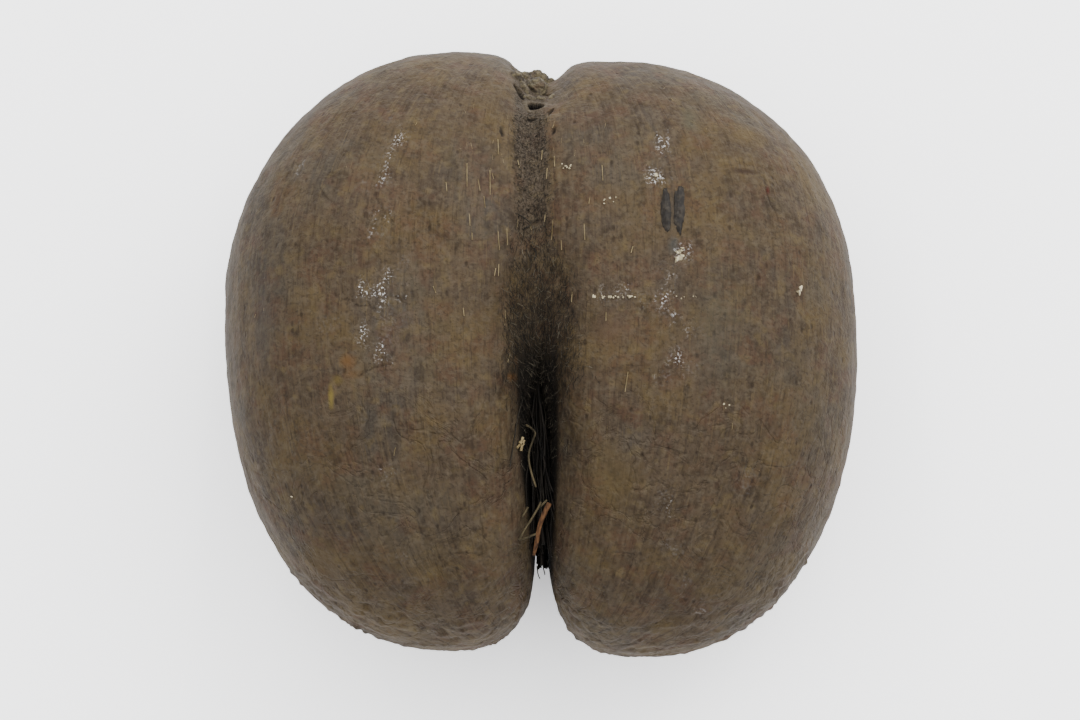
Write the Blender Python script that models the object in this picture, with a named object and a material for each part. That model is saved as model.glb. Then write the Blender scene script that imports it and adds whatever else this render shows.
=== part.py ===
"""A coco de mer nut, the two-lobed seed of the Lodoicea palm, lying on its back.

X runs across the two lobes, +Y runs from the lobe tips to the stalk end, and +Z is up, out of the front face.
The woody shell is one body: two lobes that have grown together over the stalk half and stand apart below it.
Dry husk fibres are left in the cleft between them, and a strip of husk is caught there.
All sizes are in metres.
"""

import math
import random

import bmesh
import bpy
import numpy as np
from mathutils import Vector
from mathutils.bvhtree import BVHTree

# Each lobe, measured across from the middle line and along from the nut's own middle.
# side: -1 left, 1 right. axis: from the middle line to the lobe's long axis. widest: the level at which the
# lobe is widest. above and below: from there to its ends. The powers set how full each end and side is, and
# shoulder takes some of the fullness off between the outer side and the stalk end.
LOBES = (
    {
        "side": -1,
        "axis": 0.0396,
        "lean": 0.028,
        "widest": 0.0275,
        "outer": 0.1029,
        "above": 0.1142,
        "below": 0.1633,
        "front": 0.0880,
        "back": 0.0850,
        "outer_power": 2.1,
        "above_power": 1.9,
        "below_power": 2.45,
        "shoulder": 0.09,
    },
    {
        "side": 1,
        "axis": 0.0414,
        "lean": 0.034,
        "widest": 0.0228,
        "outer": 0.1059,
        "above": 0.1139,
        "below": 0.1617,
        "front": 0.0865,
        "back": 0.0860,
        "outer_power": 2.08,
        "above_power": 2.27,
        "below_power": 2.15,
        "shoulder": 0.0,
    },
)
DEPTH_POWER = 2.15
CREST_OUT = 0.016  # the highest line of a lobe lies this much further out than its widest line
BACK_SLIP = 0.022  # the back is fullest this much nearer the tips, so the nut's weight is over what it rests on
MIDDLE_SHIFT = -0.0016
MIDDLE_TILT = -0.027  # the line between the lobes runs a little askew

# The inner side of a lobe: it reaches past the middle where the lobes have grown together, and stops at a
# nearly flat wall in the cleft. Towards the tips the wall turns away more roundly, and at mid-depth it runs
# further before it does.
GROWN_REACH = 0.135
GROWN_POWER = 2.0
WALL_POWER = 6.0
TIP_WALL_POWER = 3.0
TIP_WALL_FROM = -0.085
TIP_WALL_FULL = -0.122
WALL_LENGTH_POWER = 8.0
WALL_EDGE = (-0.005, 0.040)
WALL_RISE = (0.1, 0.8)
HALF_GAP = 0.0018
CLEFT_TOP = 0.072
CLEFT_FULL = -0.042
BLEND_LEVEL = 0.06
BLEND_STALK = 0.010  # how roundly the lobes melt together at the stalk end, and in the crotch
BLEND_CROTCH = 0.005

# The furrow along the join, round the stalk end and down the front and the back.
FURROW_DEPTH = 0.0058
FURROW_WIDTH = 0.0085
FURROW_FROM = 0.0
FAN_LEVEL = 0.006  # on the front the furrow widens into a hollow above the cleft
FAN_REACH = 0.030
FAN_DEEPER = 0.9
FAN_WIDER = 0.9
FAN_HEIGHT = 0.05
DIP_DEPTH = 0.0078  # beside the stalk scar the outline dips between the lobes
DIP_SIDE = 0.0105
DIP_WIDTH = 0.0085
DIP_FROM = 0.086
DIP_FULL = 0.112

# The stalk scar at the upper end of the furrow: a corky stub, its two side lumps and the pore below it.
SCAR_X = -0.0026
STUB_LEVEL = 0.1135
STUB_SIZE = (0.0050, 0.0100, 0.0098)
STUB_SUNK = 0.0012
LUMP_SUNK = 0.0006
CORK_ROUGHNESS = 0.10
LUMPS = (
    (-0.0110, 0.1215, (0.0042, 0.0034, 0.0036)),
    (-0.0062, 0.1222, (0.0034, 0.0030, 0.0036)),
    (0.0048, 0.1225, (0.0036, 0.0030, 0.0034)),
    (0.0060, 0.1090, (0.0024, 0.0046, 0.0026)),
)
PORE_LEVEL = 0.0980
PORE_SIZE = (0.0036, 0.0034, 0.0090)
PIT_LEVEL = 0.0900
PIT_SIZE = (0.0021, 0.0016, 0.0030)
PORE_X = SCAR_X - 0.0004
PORE_ROUGHNESS = 0.04
SCAR_SEED = 5
BLOB_CUTS = 2

# The fibres: a rope of matted husk along the head of the cleft, and strands that hang from it.
ROPE_FRONT = 0.058
ROPE_BACK = 0.020
ROPE_POINTS = 15
ROPE_SIDES = 7
ROPE_OFF = 0.0034
ROPE_SHIFTS = (0.0, 0.0015, 0.003, 0.0045, 0.006)
ROPE_SHARE = 0.82
ROPE_CLEAR = 0.0005
ROPE_RADIUS = 0.0030
STRANDS = 24
STRAND_SEED = 3
STRAND_RADIUS = 0.0005
STRAND_POINTS = 11
STRAND_LENGTH = (0.026, 0.050)
STRAND_DROP = (-0.35, 0.22)
DEEP_LONGER = 0.008
DEEP_DROP = 0.30
STRAND_LOWEST = 0.014
SWAY = 0.0042
WANDER = 0.0008
WAVE = 0.003
WAVE_TURN = 3
STRAND_KNOTS = (0.35, 0.7, 1.0)
ROD_SIDE = Vector((1, 0.2, 0.1))
CLEAR = 0.0008
CLEFT_SEARCH = -0.100
STRIP_PATH = (
    (0.0041, -0.0780, 0.0650),
    (0.0023, -0.0817, 0.0645),
    (0.0002, -0.0866, 0.0632),
    (-0.0011, -0.0931, 0.0612),
    (-0.0024, -0.0990, 0.0575),
)
STRIP_WIDTH = 0.0023
STRIP_THICKNESS = 0.0009
STRIP_TAPER = 0.35
STRIP_TOP_SHARE = 0.8
STRIP_UP = Vector((0.25, 0, 1))
STRIP_POINTS = 12
CLEARANCE_POINTS = 40

# The mesh: rings of points round each lobe, found by casting rays from inside it.
LOBE_CENTRE = 0.070
SECTION_LEVEL = 0.004
NECK_STRETCH = 1.25
RAY_START = 0.002
RAY_LENGTH = 0.2
RAY_STEPS = 160
HALVINGS = 30
SPOKES = 72
RINGS = 32
HALVED_FROM = 24
QUARTERED_FROM = 29
FLAT_LEVEL = -0.0842  # the lobes' backs are worn flat here, where the nut rests

TINY = 1e-9

WOOD_COLOUR = (0.150, 0.106, 0.068)
WOOD_ROUGHNESS = 0.55
FIBRE_COLOUR = (0.020, 0.016, 0.012)
FIBRE_ROUGHNESS = 0.80
STRIP_COLOUR = (0.240, 0.105, 0.040)
STRIP_ROUGHNESS = 0.60


def smooth_step(low, high, value):
    """0 below low, 1 above high, and an S-curve between them."""
    share = np.clip((value - low) / (high - low), 0.0, 1.0)
    return share * share * (3.0 - 2.0 * share)


def lobe_distance(lobe, points):
    """Roughly how far each point is outside a lobe, measured towards the lobe's middle."""
    across = lobe["side"] * (points[:, 0] - MIDDLE_SHIFT - MIDDLE_TILT * points[:, 1])
    along = points[:, 1] - lobe["widest"]
    up = points[:, 2]
    depth = np.where(up > 0, lobe["front"], lobe["back"])
    rise = np.abs(up) / depth
    axis = lobe["axis"] - lobe["lean"] * points[:, 1]
    crest = axis + CREST_OUT * rise**2
    along = along + np.where(up > 0, 0, BACK_SLIP) * rise**2
    grown = smooth_step(CLEFT_FULL, CLEFT_TOP, points[:, 1])
    reach = (crest - HALF_GAP) * (1 - grown) + GROWN_REACH * grown
    wall = smooth_step(TIP_WALL_FULL, TIP_WALL_FROM, points[:, 1])
    wall = TIP_WALL_POWER * (1 - wall) + WALL_POWER * wall
    power = wall * (1 - grown) + GROWN_POWER * grown
    inner = (np.maximum(crest - across, 0) / reach) ** power
    outer = (np.maximum(across - crest, 0) / lobe["outer"]) ** lobe["outer_power"]
    length = np.where(along > 0, lobe["above"], lobe["below"])
    length_power = np.where(along > 0, lobe["above_power"], lobe["below_power"])
    walled = smooth_step(*WALL_EDGE, crest - across) * (1 - grown) * (1 - smooth_step(*WALL_RISE, rise))
    length_power = length_power * (1 - walled) + WALL_LENGTH_POWER * walled
    total = inner + outer + (np.abs(along) / length) ** length_power + rise**DEPTH_POWER
    shoulder = np.maximum(across - axis, 0) / lobe["outer"] * np.maximum(along, 0) / lobe["above"]
    total = total + lobe["shoulder"] * shoulder
    middle = np.column_stack([across - axis, along, up])
    radius = np.linalg.norm(middle, axis=1)
    return radius * (1 - np.maximum(total, TINY) ** (-1 / DEPTH_POWER))


def nut_distance(points):
    """The two lobes as one body, with a rounded join and the furrow along it."""
    left, right = (lobe_distance(lobe, points) for lobe in LOBES)
    stalk = smooth_step(CLEFT_FULL, BLEND_LEVEL, points[:, 1])
    blend = BLEND_CROTCH * (1 - stalk) + BLEND_STALK * stalk
    overlap = np.maximum(blend - np.abs(left - right), 0) / blend
    across = points[:, 0] - MIDDLE_SHIFT - MIDDLE_TILT * points[:, 1]
    fan = np.exp(-(((points[:, 1] - FAN_LEVEL) / FAN_REACH) ** 2)) * smooth_step(0, FAN_HEIGHT, points[:, 2])
    width = FURROW_WIDTH * (1 + FAN_WIDER * fan)
    depth = FURROW_DEPTH * (1 + FAN_DEEPER * fan) * smooth_step(CLEFT_FULL, FURROW_FROM, points[:, 1])
    furrow = depth * np.exp(-((across / width) ** 2))
    dip = DIP_DEPTH * np.exp(-(((across - DIP_SIDE) / DIP_WIDTH) ** 2))
    dip = dip * smooth_step(DIP_FROM, DIP_FULL, points[:, 1])
    return np.minimum(left, right) - overlap**2 * blend / 4 + furrow + dip


def cast(origins, directions):
    """Where each ray leaves the nut: a coarse march, then halving."""
    steps = np.linspace(RAY_START, RAY_LENGTH, RAY_STEPS)
    low = np.full(len(origins), RAY_START)
    high = np.full(len(origins), RAY_LENGTH)
    open_yet = np.ones(len(origins), bool)
    for step in steps:
        outside = nut_distance(origins + directions * step) > 0
        high = np.where(open_yet & outside, step, high)
        open_yet &= ~outside
        low = np.where(open_yet, step, low)
    for _ in range(HALVINGS):
        half = (low + high) / 2
        outside = nut_distance(origins + directions * half[:, None]) > 0
        high = np.where(outside, half, high)
        low = np.where(outside, low, half)
    return origins + directions * low[:, None]


def middle_x(level):
    """Where the line between the lobes is, at a level along the nut."""
    return MIDDLE_SHIFT + MIDDLE_TILT * level


def neck_curve():
    """The section of the nut in its middle plane, where the two lobes meet."""
    turns = np.linspace(0, 2 * math.pi, SPOKES, endpoint=False)
    along = NECK_STRETCH * np.sin(turns)
    up = np.cos(turns)
    directions = np.column_stack([MIDDLE_TILT * along, along, up])
    directions /= np.linalg.norm(directions, axis=1)[:, None]
    origins = np.tile([middle_x(SECTION_LEVEL), SECTION_LEVEL, 0.0], (SPOKES, 1))
    return cast(origins, directions)


def lobe_rings(side, neck):
    """Rings of points from the middle section out to the lobe's outermost point."""
    centre = np.array([side * LOBE_CENTRE, SECTION_LEVEL, 0.0])
    pole = np.array([side, 0.0, 0.0])
    starts = neck - centre
    starts /= np.linalg.norm(starts, axis=1)[:, None]
    turns = np.arccos(np.clip(starts @ pole, -1, 1))
    rings = [neck]
    for ring in range(1, RINGS):
        share = ring / RINGS
        step = 1 if ring < HALVED_FROM else 2 if ring < QUARTERED_FROM else 4
        chosen = slice(None, None, step)
        angle = turns[chosen] * share
        weight_start = np.sin(turns[chosen] - angle) / np.sin(turns[chosen])
        weight_pole = np.sin(angle) / np.sin(turns[chosen])
        directions = weight_start[:, None] * starts[chosen] + weight_pole[:, None] * pole
        origins = np.tile(centre, (len(directions), 1))
        rings.append(cast(origins, directions))
    rings.append(cast(centre[None, :], pole[None, :]))
    return rings


def skin_rings(mesh, rings, side):
    """Faces between each ring and the next, which may have as many points or half as many."""
    for inner, outer in zip(rings, rings[1:]):
        count, fewer = len(inner), len(outer)
        for k in range(fewer if fewer > 1 else count):
            if fewer == 1:
                corners = [inner[k], inner[(k + 1) % count], outer[0]]
            elif fewer == count:
                corners = [inner[k], inner[(k + 1) % count], outer[(k + 1) % count], outer[k]]
            else:
                corners = [inner[2 * k], inner[2 * k + 1], inner[(2 * k + 2) % count]]
                corners += [outer[(k + 1) % fewer], outer[k]]
            mesh.faces.new(corners if side > 0 else corners[::-1])


def new_object(name, mesh):
    """Links a bmesh as an object and frees it."""
    bmesh.ops.recalc_face_normals(mesh, faces=mesh.faces)
    data = bpy.data.meshes.new(name)
    mesh.to_mesh(data)
    mesh.free()
    data.shade_smooth()
    obj = bpy.data.objects.new(name, data)
    bpy.context.scene.collection.objects.link(obj)
    return obj


def make_shell():
    """The grown-together lobes, before the stalk scar."""
    mesh = bmesh.new()
    neck = neck_curve()
    shared = [mesh.verts.new(point) for point in neck]
    for side in (-1, 1):
        rings = [shared]
        for ring in lobe_rings(side, neck)[1:]:
            ring[:, 2] = np.maximum(ring[:, 2], FLAT_LEVEL)
            rings.append([mesh.verts.new(point) for point in ring])
        skin_rings(mesh, rings, side)
    bmesh.ops.triangulate(mesh, faces=[face for face in mesh.faces if len(face.verts) > 4])
    return new_object("nut", mesh)


def tree_of(obj):
    """A search tree of an object's evaluated mesh."""
    graph = bpy.context.evaluated_depsgraph_get()
    return BVHTree.FromObject(obj, graph)


def front_point(tree, x, level):
    """The point of the front face above x and level, and the way it faces."""
    point, normal, _, _ = tree.ray_cast(Vector((x, level, RAY_LENGTH)), Vector((0, 0, -1)))
    return point, normal


def blob(name, tree, x, level, size, sunk, roughness, rng):
    """A lumpy ellipsoid set into the front face, its third axis along the face's normal."""
    point, normal = front_point(tree, x, level)
    side = Vector((1, 0, 0))
    up_slope = normal.cross(side).normalized()
    side = up_slope.cross(normal).normalized()
    mesh = bmesh.new()
    bmesh.ops.create_icosphere(mesh, subdivisions=BLOB_CUTS, radius=1.0)
    centre = point - normal * sunk
    for vert in mesh.verts:
        local = vert.co * (1 + rng.uniform(-roughness, roughness))
        offset = side * (local.x * size[0]) + up_slope * (local.y * size[1]) + normal * (local.z * size[2])
        vert.co = centre + offset
    return new_object(name, mesh)


def use_tool(target, tool, operation):
    """A Boolean on the target by a hidden tool object."""
    modifier = target.modifiers.new(tool.name, "BOOLEAN")
    modifier.operation = operation
    modifier.solver = "EXACT"
    modifier.object = tool
    tool.hide_render = True
    tool.display_type = "WIRE"
    return modifier


def add_scar(nut):
    """The corky stub, its lumps, the pore and the small pit under it."""
    tree = tree_of(nut)
    rng = random.Random(SCAR_SEED)
    raised = [("stub", SCAR_X, STUB_LEVEL, STUB_SIZE, STUB_SUNK)]
    raised += [(f"lump_{n}", x, level, size, LUMP_SUNK) for n, (x, level, size) in enumerate(LUMPS)]
    for name, x, level, size, sunk in raised:
        use_tool(nut, blob(name, tree, x, level, size, sunk, CORK_ROUGHNESS, rng), "UNION")
    for name, level, size in (("pore", PORE_LEVEL, PORE_SIZE), ("pit", PIT_LEVEL, PIT_SIZE)):
        use_tool(nut, blob(name, tree, PORE_X, level, size, 0.0, PORE_ROUGHNESS, rng), "DIFFERENCE")


def sweep(mesh, path, rings):
    """Joins rings of points, one ring at each point of a path, into a closed rod."""
    loops = [[mesh.verts.new(corner) for corner in ring] for ring in rings]
    sides = len(loops[0])
    for low, high in zip(loops, loops[1:]):
        for k in range(sides):
            mesh.faces.new([low[k], low[(k + 1) % sides], high[(k + 1) % sides], high[k]])
    mesh.faces.new(loops[0][::-1])
    mesh.faces.new(loops[-1])


def rod_rings(path, radii, sides, twist=0.0):
    """Round rings of a given radius at each point of a path."""
    rings = []
    for n, (point, radius) in enumerate(zip(path, radii)):
        heading = path[min(n + 1, len(path) - 1)] - path[max(n - 1, 0)]
        heading.normalize()
        first = heading.cross(ROD_SIDE).normalized()
        second = heading.cross(first)
        ring = []
        for k in range(sides):
            turn = twist + 2 * math.pi * k / sides
            ring.append(point + (first * math.cos(turn) + second * math.sin(turn)) * radius)
        rings.append(ring)
    return rings


def curve_through(knots, count):
    """Evenly spread points of a smooth curve through some knots."""
    knots = [Vector(knot) for knot in knots]
    ends = [2 * knots[0] - knots[1], *knots, 2 * knots[-1] - knots[-2]]
    points = []
    for n in range(count):
        place = n / (count - 1) * (len(knots) - 1)
        k = min(int(place), len(knots) - 2)
        t = place - k
        a, b, c, d = ends[k : k + 4]
        point = 2 * b + (c - a) * t + (2 * a - 5 * b + 4 * c - d) * t**2 + (3 * b - a - 3 * c + d) * t**3
        points.append(point / 2)
    return points


def keep_clear(tree, point, distance):
    """Moves a point off the nut until it is this far from it, or as far as the gap allows."""
    tries = 12
    spare = 0.0001
    for _ in range(tries):
        near, normal, _, gap = tree.find_nearest(point)
        if gap >= distance and (point - near).dot(normal) > 0:
            break
        point = near + normal * (distance + spare)
    return point


def cleft_head(tree, height):
    """The head of the cleft at one height: the lowest level where the lobes are still joined."""
    start = Vector((middle_x(CLEFT_SEARCH), CLEFT_SEARCH, height))
    point, _, _, _ = tree.ray_cast(start, Vector((MIDDLE_TILT, 1, 0)))
    return point


def stays_clear(tree, strip, line):
    """Whether a strand along this line stays outside the nut, and off the strip, all the way."""
    looks = 6
    for low, high in zip(line, line[1:]):
        for n in range(looks):
            point = low.lerp(high, n / (looks - 1))
            near, normal, _, gap = tree.find_nearest(point)
            if gap < STRAND_RADIUS + CLEAR / 2 or (point - near).dot(normal) < 0:
                return False
            if min((point - other).length for other in strip) < STRIP_WIDTH / 2 + 2 * STRAND_RADIUS:
                return False
    return True


def strand_line(tree, rope, rng):
    """One strand's path, from inside the rope down towards the tips."""
    n = rng.randrange(1, len(rope) - 1)
    root = rope[n]
    front = n / (len(rope) - 1)
    length = rng.uniform(*STRAND_LENGTH) + DEEP_LONGER * (1 - front)
    drop = rng.uniform(*STRAND_DROP) + DEEP_DROP * (1 - front)
    sway = rng.uniform(-1, 1)
    knots = [root + Vector((0, CLEAR, 0))]
    for step in STRAND_KNOTS:
        reach = length * step
        x = middle_x(root.y - reach) + sway * SWAY * step + rng.uniform(-WANDER, WANDER)
        z = max(root.z + reach * drop + WAVE * math.sin(WAVE_TURN * step + sway), STRAND_LOWEST)
        knots.append(Vector((x, root.y - reach, z)))
    line = curve_through(knots, STRAND_POINTS)
    return line[:1] + [keep_clear(tree, point, STRAND_RADIUS + CLEAR) for point in line[1:]]


def rope_path(tree):
    """The rope's middle line and its radius at each point, along the head of the cleft from back to front."""
    path, radii = [], []
    for n in range(ROPE_POINTS):
        height = ROPE_BACK + (ROPE_FRONT - ROPE_BACK) * n / (ROPE_POINTS - 1)
        start = cleft_head(tree, height) - Vector((0, ROPE_OFF, 0))
        places = [start - Vector((0, shift, 0)) for shift in ROPE_SHIFTS]
        roomiest = max(places, key=lambda place: tree.find_nearest(place)[3])
        path.append(roomiest)
        radii.append(min(tree.find_nearest(roomiest)[3] * ROPE_SHARE - ROPE_CLEAR, ROPE_RADIUS))
    return path, radii


def make_strands(tree, path):
    """Strands that hang from the rope, in a collection of their own."""
    rng = random.Random(STRAND_SEED)
    strands = bpy.data.collections.new("strands")
    bpy.context.scene.collection.children.link(strands)
    strip = curve_through(STRIP_PATH, CLEARANCE_POINTS)
    while len(strands.objects) < STRANDS:
        line = strand_line(tree, path, rng)
        if not stays_clear(tree, strip, line[1:]):
            continue
        mesh = bmesh.new()
        sweep(mesh, line, rod_rings(line, [STRAND_RADIUS] * len(line), 3, rng.uniform(0, 6)))
        strand = new_object("strand", mesh)
        bpy.context.scene.collection.objects.unlink(strand)
        strands.objects.link(strand)
    return strands


def make_fibres(nut):
    """The matted rope with its strands, all one piece."""
    tree = tree_of(nut)
    path, radii = rope_path(tree)
    mesh = bmesh.new()
    sweep(mesh, path, rod_rings(path, radii, ROPE_SIDES))
    rope = new_object("cleft_fibres", mesh)
    strands = make_strands(tree, path)
    modifier = rope.modifiers.new("strands", "BOOLEAN")
    modifier.operation = "UNION"
    modifier.solver = "MANIFOLD"
    modifier.operand_type = "COLLECTION"
    modifier.collection = strands
    joined = bpy.data.meshes.new_from_object(rope.evaluated_get(bpy.context.evaluated_depsgraph_get()))
    rope.modifiers.clear()
    rope.data = joined
    for strand in list(strands.objects):
        bpy.data.objects.remove(strand)
    bpy.data.collections.remove(strands)
    return rope


def make_strip():
    """The flat strip of husk caught near the mouth of the cleft."""
    line = curve_through(STRIP_PATH, STRIP_POINTS)
    rings = []
    for n, point in enumerate(line):
        heading = line[min(n + 1, len(line) - 1)] - line[max(n - 1, 0)]
        heading.normalize()
        flat = heading.cross(STRIP_UP).normalized()
        face = flat.cross(heading)
        wide = STRIP_WIDTH / 2 * (1 - STRIP_TAPER * (n / (len(line) - 1)) ** 3)
        thick = STRIP_THICKNESS / 2
        top = wide * STRIP_TOP_SHARE
        corners = ((-wide, -thick), (wide, -thick), (top, thick), (-top, thick))
        rings.append([point + flat * a + face * b for a, b in corners])
    mesh = bmesh.new()
    sweep(mesh, line, rings)
    return new_object("husk_strip", mesh)


def paint(obj, colour, roughness):
    """Gives an object one plain material."""
    material = bpy.data.materials.new(obj.name)
    material.use_nodes = True
    shader = material.node_tree.nodes["Principled BSDF"]
    shader.inputs["Base Color"].default_value = (*colour, 1.0)
    shader.inputs["Roughness"].default_value = roughness
    material.diffuse_color = (*colour, 1.0)
    obj.data.materials.append(material)


def main():
    for obj in list(bpy.data.objects):
        bpy.data.objects.remove(obj)
    nut = make_shell()
    add_scar(nut)
    bpy.context.view_layer.update()
    fibres = make_fibres(nut)
    strip = make_strip()
    paint(nut, WOOD_COLOUR, WOOD_ROUGHNESS)
    paint(fibres, FIBRE_COLOUR, FIBRE_ROUGHNESS)
    paint(strip, STRIP_COLOUR, STRIP_ROUGHNESS)
    graph = bpy.context.evaluated_depsgraph_get()
    corners = [Vector(corner) for corner in nut.evaluated_get(graph).bound_box]
    low = Vector([min(corner[k] for corner in corners) for k in range(3)])
    high = Vector([max(corner[k] for corner in corners) for k in range(3)])
    for obj in bpy.data.objects:
        obj.location -= Vector(((low.x + high.x) / 2, (low.y + high.y) / 2, FLAT_LEVEL))


main()
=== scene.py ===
# %% [markdown]
# # A coco de mer nut
# The nut lies on its back, as the seed of the Lodoicea palm does on a table: two woody lobes that grew together over
# the stalk half and stand apart below it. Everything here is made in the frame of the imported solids, in metres, with
# X across the lobes, +Y towards the stalk end and +Z up, out of the front face.

# %% Load the frame
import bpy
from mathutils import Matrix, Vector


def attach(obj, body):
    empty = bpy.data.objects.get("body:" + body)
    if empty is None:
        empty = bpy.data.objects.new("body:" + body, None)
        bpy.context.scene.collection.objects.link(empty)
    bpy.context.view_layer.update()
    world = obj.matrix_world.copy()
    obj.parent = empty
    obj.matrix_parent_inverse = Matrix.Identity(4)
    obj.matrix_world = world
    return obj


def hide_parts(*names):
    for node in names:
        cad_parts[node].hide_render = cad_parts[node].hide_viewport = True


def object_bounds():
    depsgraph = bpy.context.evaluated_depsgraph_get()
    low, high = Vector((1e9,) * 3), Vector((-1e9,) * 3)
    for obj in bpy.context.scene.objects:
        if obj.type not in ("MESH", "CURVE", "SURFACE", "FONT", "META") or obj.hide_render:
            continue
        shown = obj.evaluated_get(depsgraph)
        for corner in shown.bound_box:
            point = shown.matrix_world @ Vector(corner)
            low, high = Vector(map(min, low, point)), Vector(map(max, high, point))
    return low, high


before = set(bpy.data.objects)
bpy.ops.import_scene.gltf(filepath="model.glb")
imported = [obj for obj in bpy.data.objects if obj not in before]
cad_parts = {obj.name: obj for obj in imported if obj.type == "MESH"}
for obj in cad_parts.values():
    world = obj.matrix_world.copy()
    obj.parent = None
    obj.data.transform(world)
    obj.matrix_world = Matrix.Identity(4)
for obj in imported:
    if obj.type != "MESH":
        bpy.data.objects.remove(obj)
cad_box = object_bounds()
print("solids:", sorted(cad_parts), "box:", [tuple(round(c, 4) for c in corner) for corner in cad_box])

# %% Modules
import itertools
import math

import bmesh
import bpy
import numpy as np
from mathutils import Matrix, Vector, kdtree, noise

# %% [markdown]
# ## The camera first
# Many small things on this nut are placed where the photograph shows them, so the camera comes before the shapes. It
# looks down on the table from the tips' side, 78 degrees above the horizon, with a long lens. A helper turns a pixel
# of the photograph into the ray that the camera sees it along.

# %% Camera
FOCAL_PIXELS = 1840
PHOTO_WIDTH, PHOTO_HEIGHT = 1080, 720
SENSOR = 36.0
ELEVATION = math.radians(78)
DISTANCE = 0.85
NUT_PIXEL = (539.6, 353.0)  # where the middle of the nut is in the photograph
MIDDLE = np.array((-0.00044, -0.00141, 0.0842))  # and where it is in the frame

lens = bpy.data.cameras.new("camera")
lens.sensor_width = SENSOR
lens.lens = FOCAL_PIXELS / PHOTO_WIDTH * SENSOR
lens.shift_x = (PHOTO_WIDTH / 2 - NUT_PIXEL[0]) / PHOTO_WIDTH
lens.shift_y = (NUT_PIXEL[1] - PHOTO_HEIGHT / 2) / PHOTO_WIDTH
camera = bpy.data.objects.new("camera", lens)
bpy.context.scene.collection.objects.link(camera)
camera.location = Vector(MIDDLE) + Vector((0, -math.cos(ELEVATION), math.sin(ELEVATION))) * DISTANCE
camera.rotation_euler = (math.pi / 2 - ELEVATION, 0, 0)
bpy.context.scene.camera = camera


def sight_lines(pixels):
    """The direction in which the camera sees each pixel of the photograph."""
    pixels = np.asarray(pixels, float)
    ahead = np.array((0, math.cos(ELEVATION), -math.sin(ELEVATION)))
    upward = np.array((0, math.sin(ELEVATION), math.cos(ELEVATION)))
    right = np.array((1.0, 0.0, 0.0))
    across = (pixels[:, 0] - NUT_PIXEL[0]) / FOCAL_PIXELS
    down = (pixels[:, 1] - NUT_PIXEL[1]) / FOCAL_PIXELS
    lines = ahead + across[:, None] * right - down[:, None] * upward
    return lines / np.linalg.norm(lines, axis=1)[:, None]


print("camera at", [round(c, 3) for c in camera.location], "lens", round(lens.lens, 1), "mm")

# %% [markdown]
# ## The form of the shell
# A nut has no edges or flats of its own, so modelling it from a cylinder or a box would leave their traces. A formula
# is truer to growth: each lobe is a rounded body that is full on its outer side and stops at a steep wall on its
# inner side, and the two are melted together where they meet. The formula says how far any point is outside the
# shell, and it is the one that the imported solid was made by, so the fine skin and the solid agree everywhere.

# %% Sizes of the lobes
LEFT_LOBE = {
    "side": -1, "axis": 0.0396, "lean": 0.028, "widest": 0.0275, "outer": 0.1029,
    "above": 0.1142, "below": 0.1633, "front": 0.0880, "back": 0.0850,
    "outer_power": 2.10, "above_power": 1.90, "below_power": 2.45, "shoulder": 0.09,
}
RIGHT_LOBE = {
    "side": 1, "axis": 0.0414, "lean": 0.034, "widest": 0.0228, "outer": 0.1059,
    "above": 0.1139, "below": 0.1617, "front": 0.0865, "back": 0.0860,
    "outer_power": 2.08, "above_power": 2.27, "below_power": 2.15, "shoulder": 0.0,
}
DEPTH_POWER = 2.15
CREST_OUT = 0.016
BACK_SLIP = 0.022
MIDDLE_SHIFT = -0.0016
MIDDLE_TILT = -0.027
GROWN_REACH, GROWN_POWER = 0.135, 2.0
WALL_POWER, TIP_WALL_POWER, WALL_LENGTH_POWER = 6.0, 3.0, 8.0
TIP_WALL_FROM, TIP_WALL_FULL = -0.085, -0.122
HALF_GAP = 0.0018
CLEFT_TOP, CLEFT_FULL = 0.072, -0.042
BLEND_STALK, BLEND_CROTCH = 0.010, 0.005
FURROW_DEPTH, FURROW_WIDTH = 0.0058, 0.0085
FAN_LEVEL, FAN_REACH, FAN_DEEPER, FAN_WIDER = 0.006, 0.030, 0.9, 0.9
DIP_DEPTH, DIP_SIDE, DIP_WIDTH, DIP_FROM, DIP_FULL = 0.0078, 0.0105, 0.0085, 0.086, 0.112


# %% How far a point is outside the shell
def smooth_step(low, high, value):
    """0 below low, 1 above high, and an S-curve between them."""
    share = np.clip((value - low) / (high - low), 0.0, 1.0)
    return share * share * (3.0 - 2.0 * share)


def from_middle_line(points):
    """How far right of the line between the lobes each point is. That line runs a little askew."""
    return points[:, 0] - MIDDLE_SHIFT - MIDDLE_TILT * points[:, 1]


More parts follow.
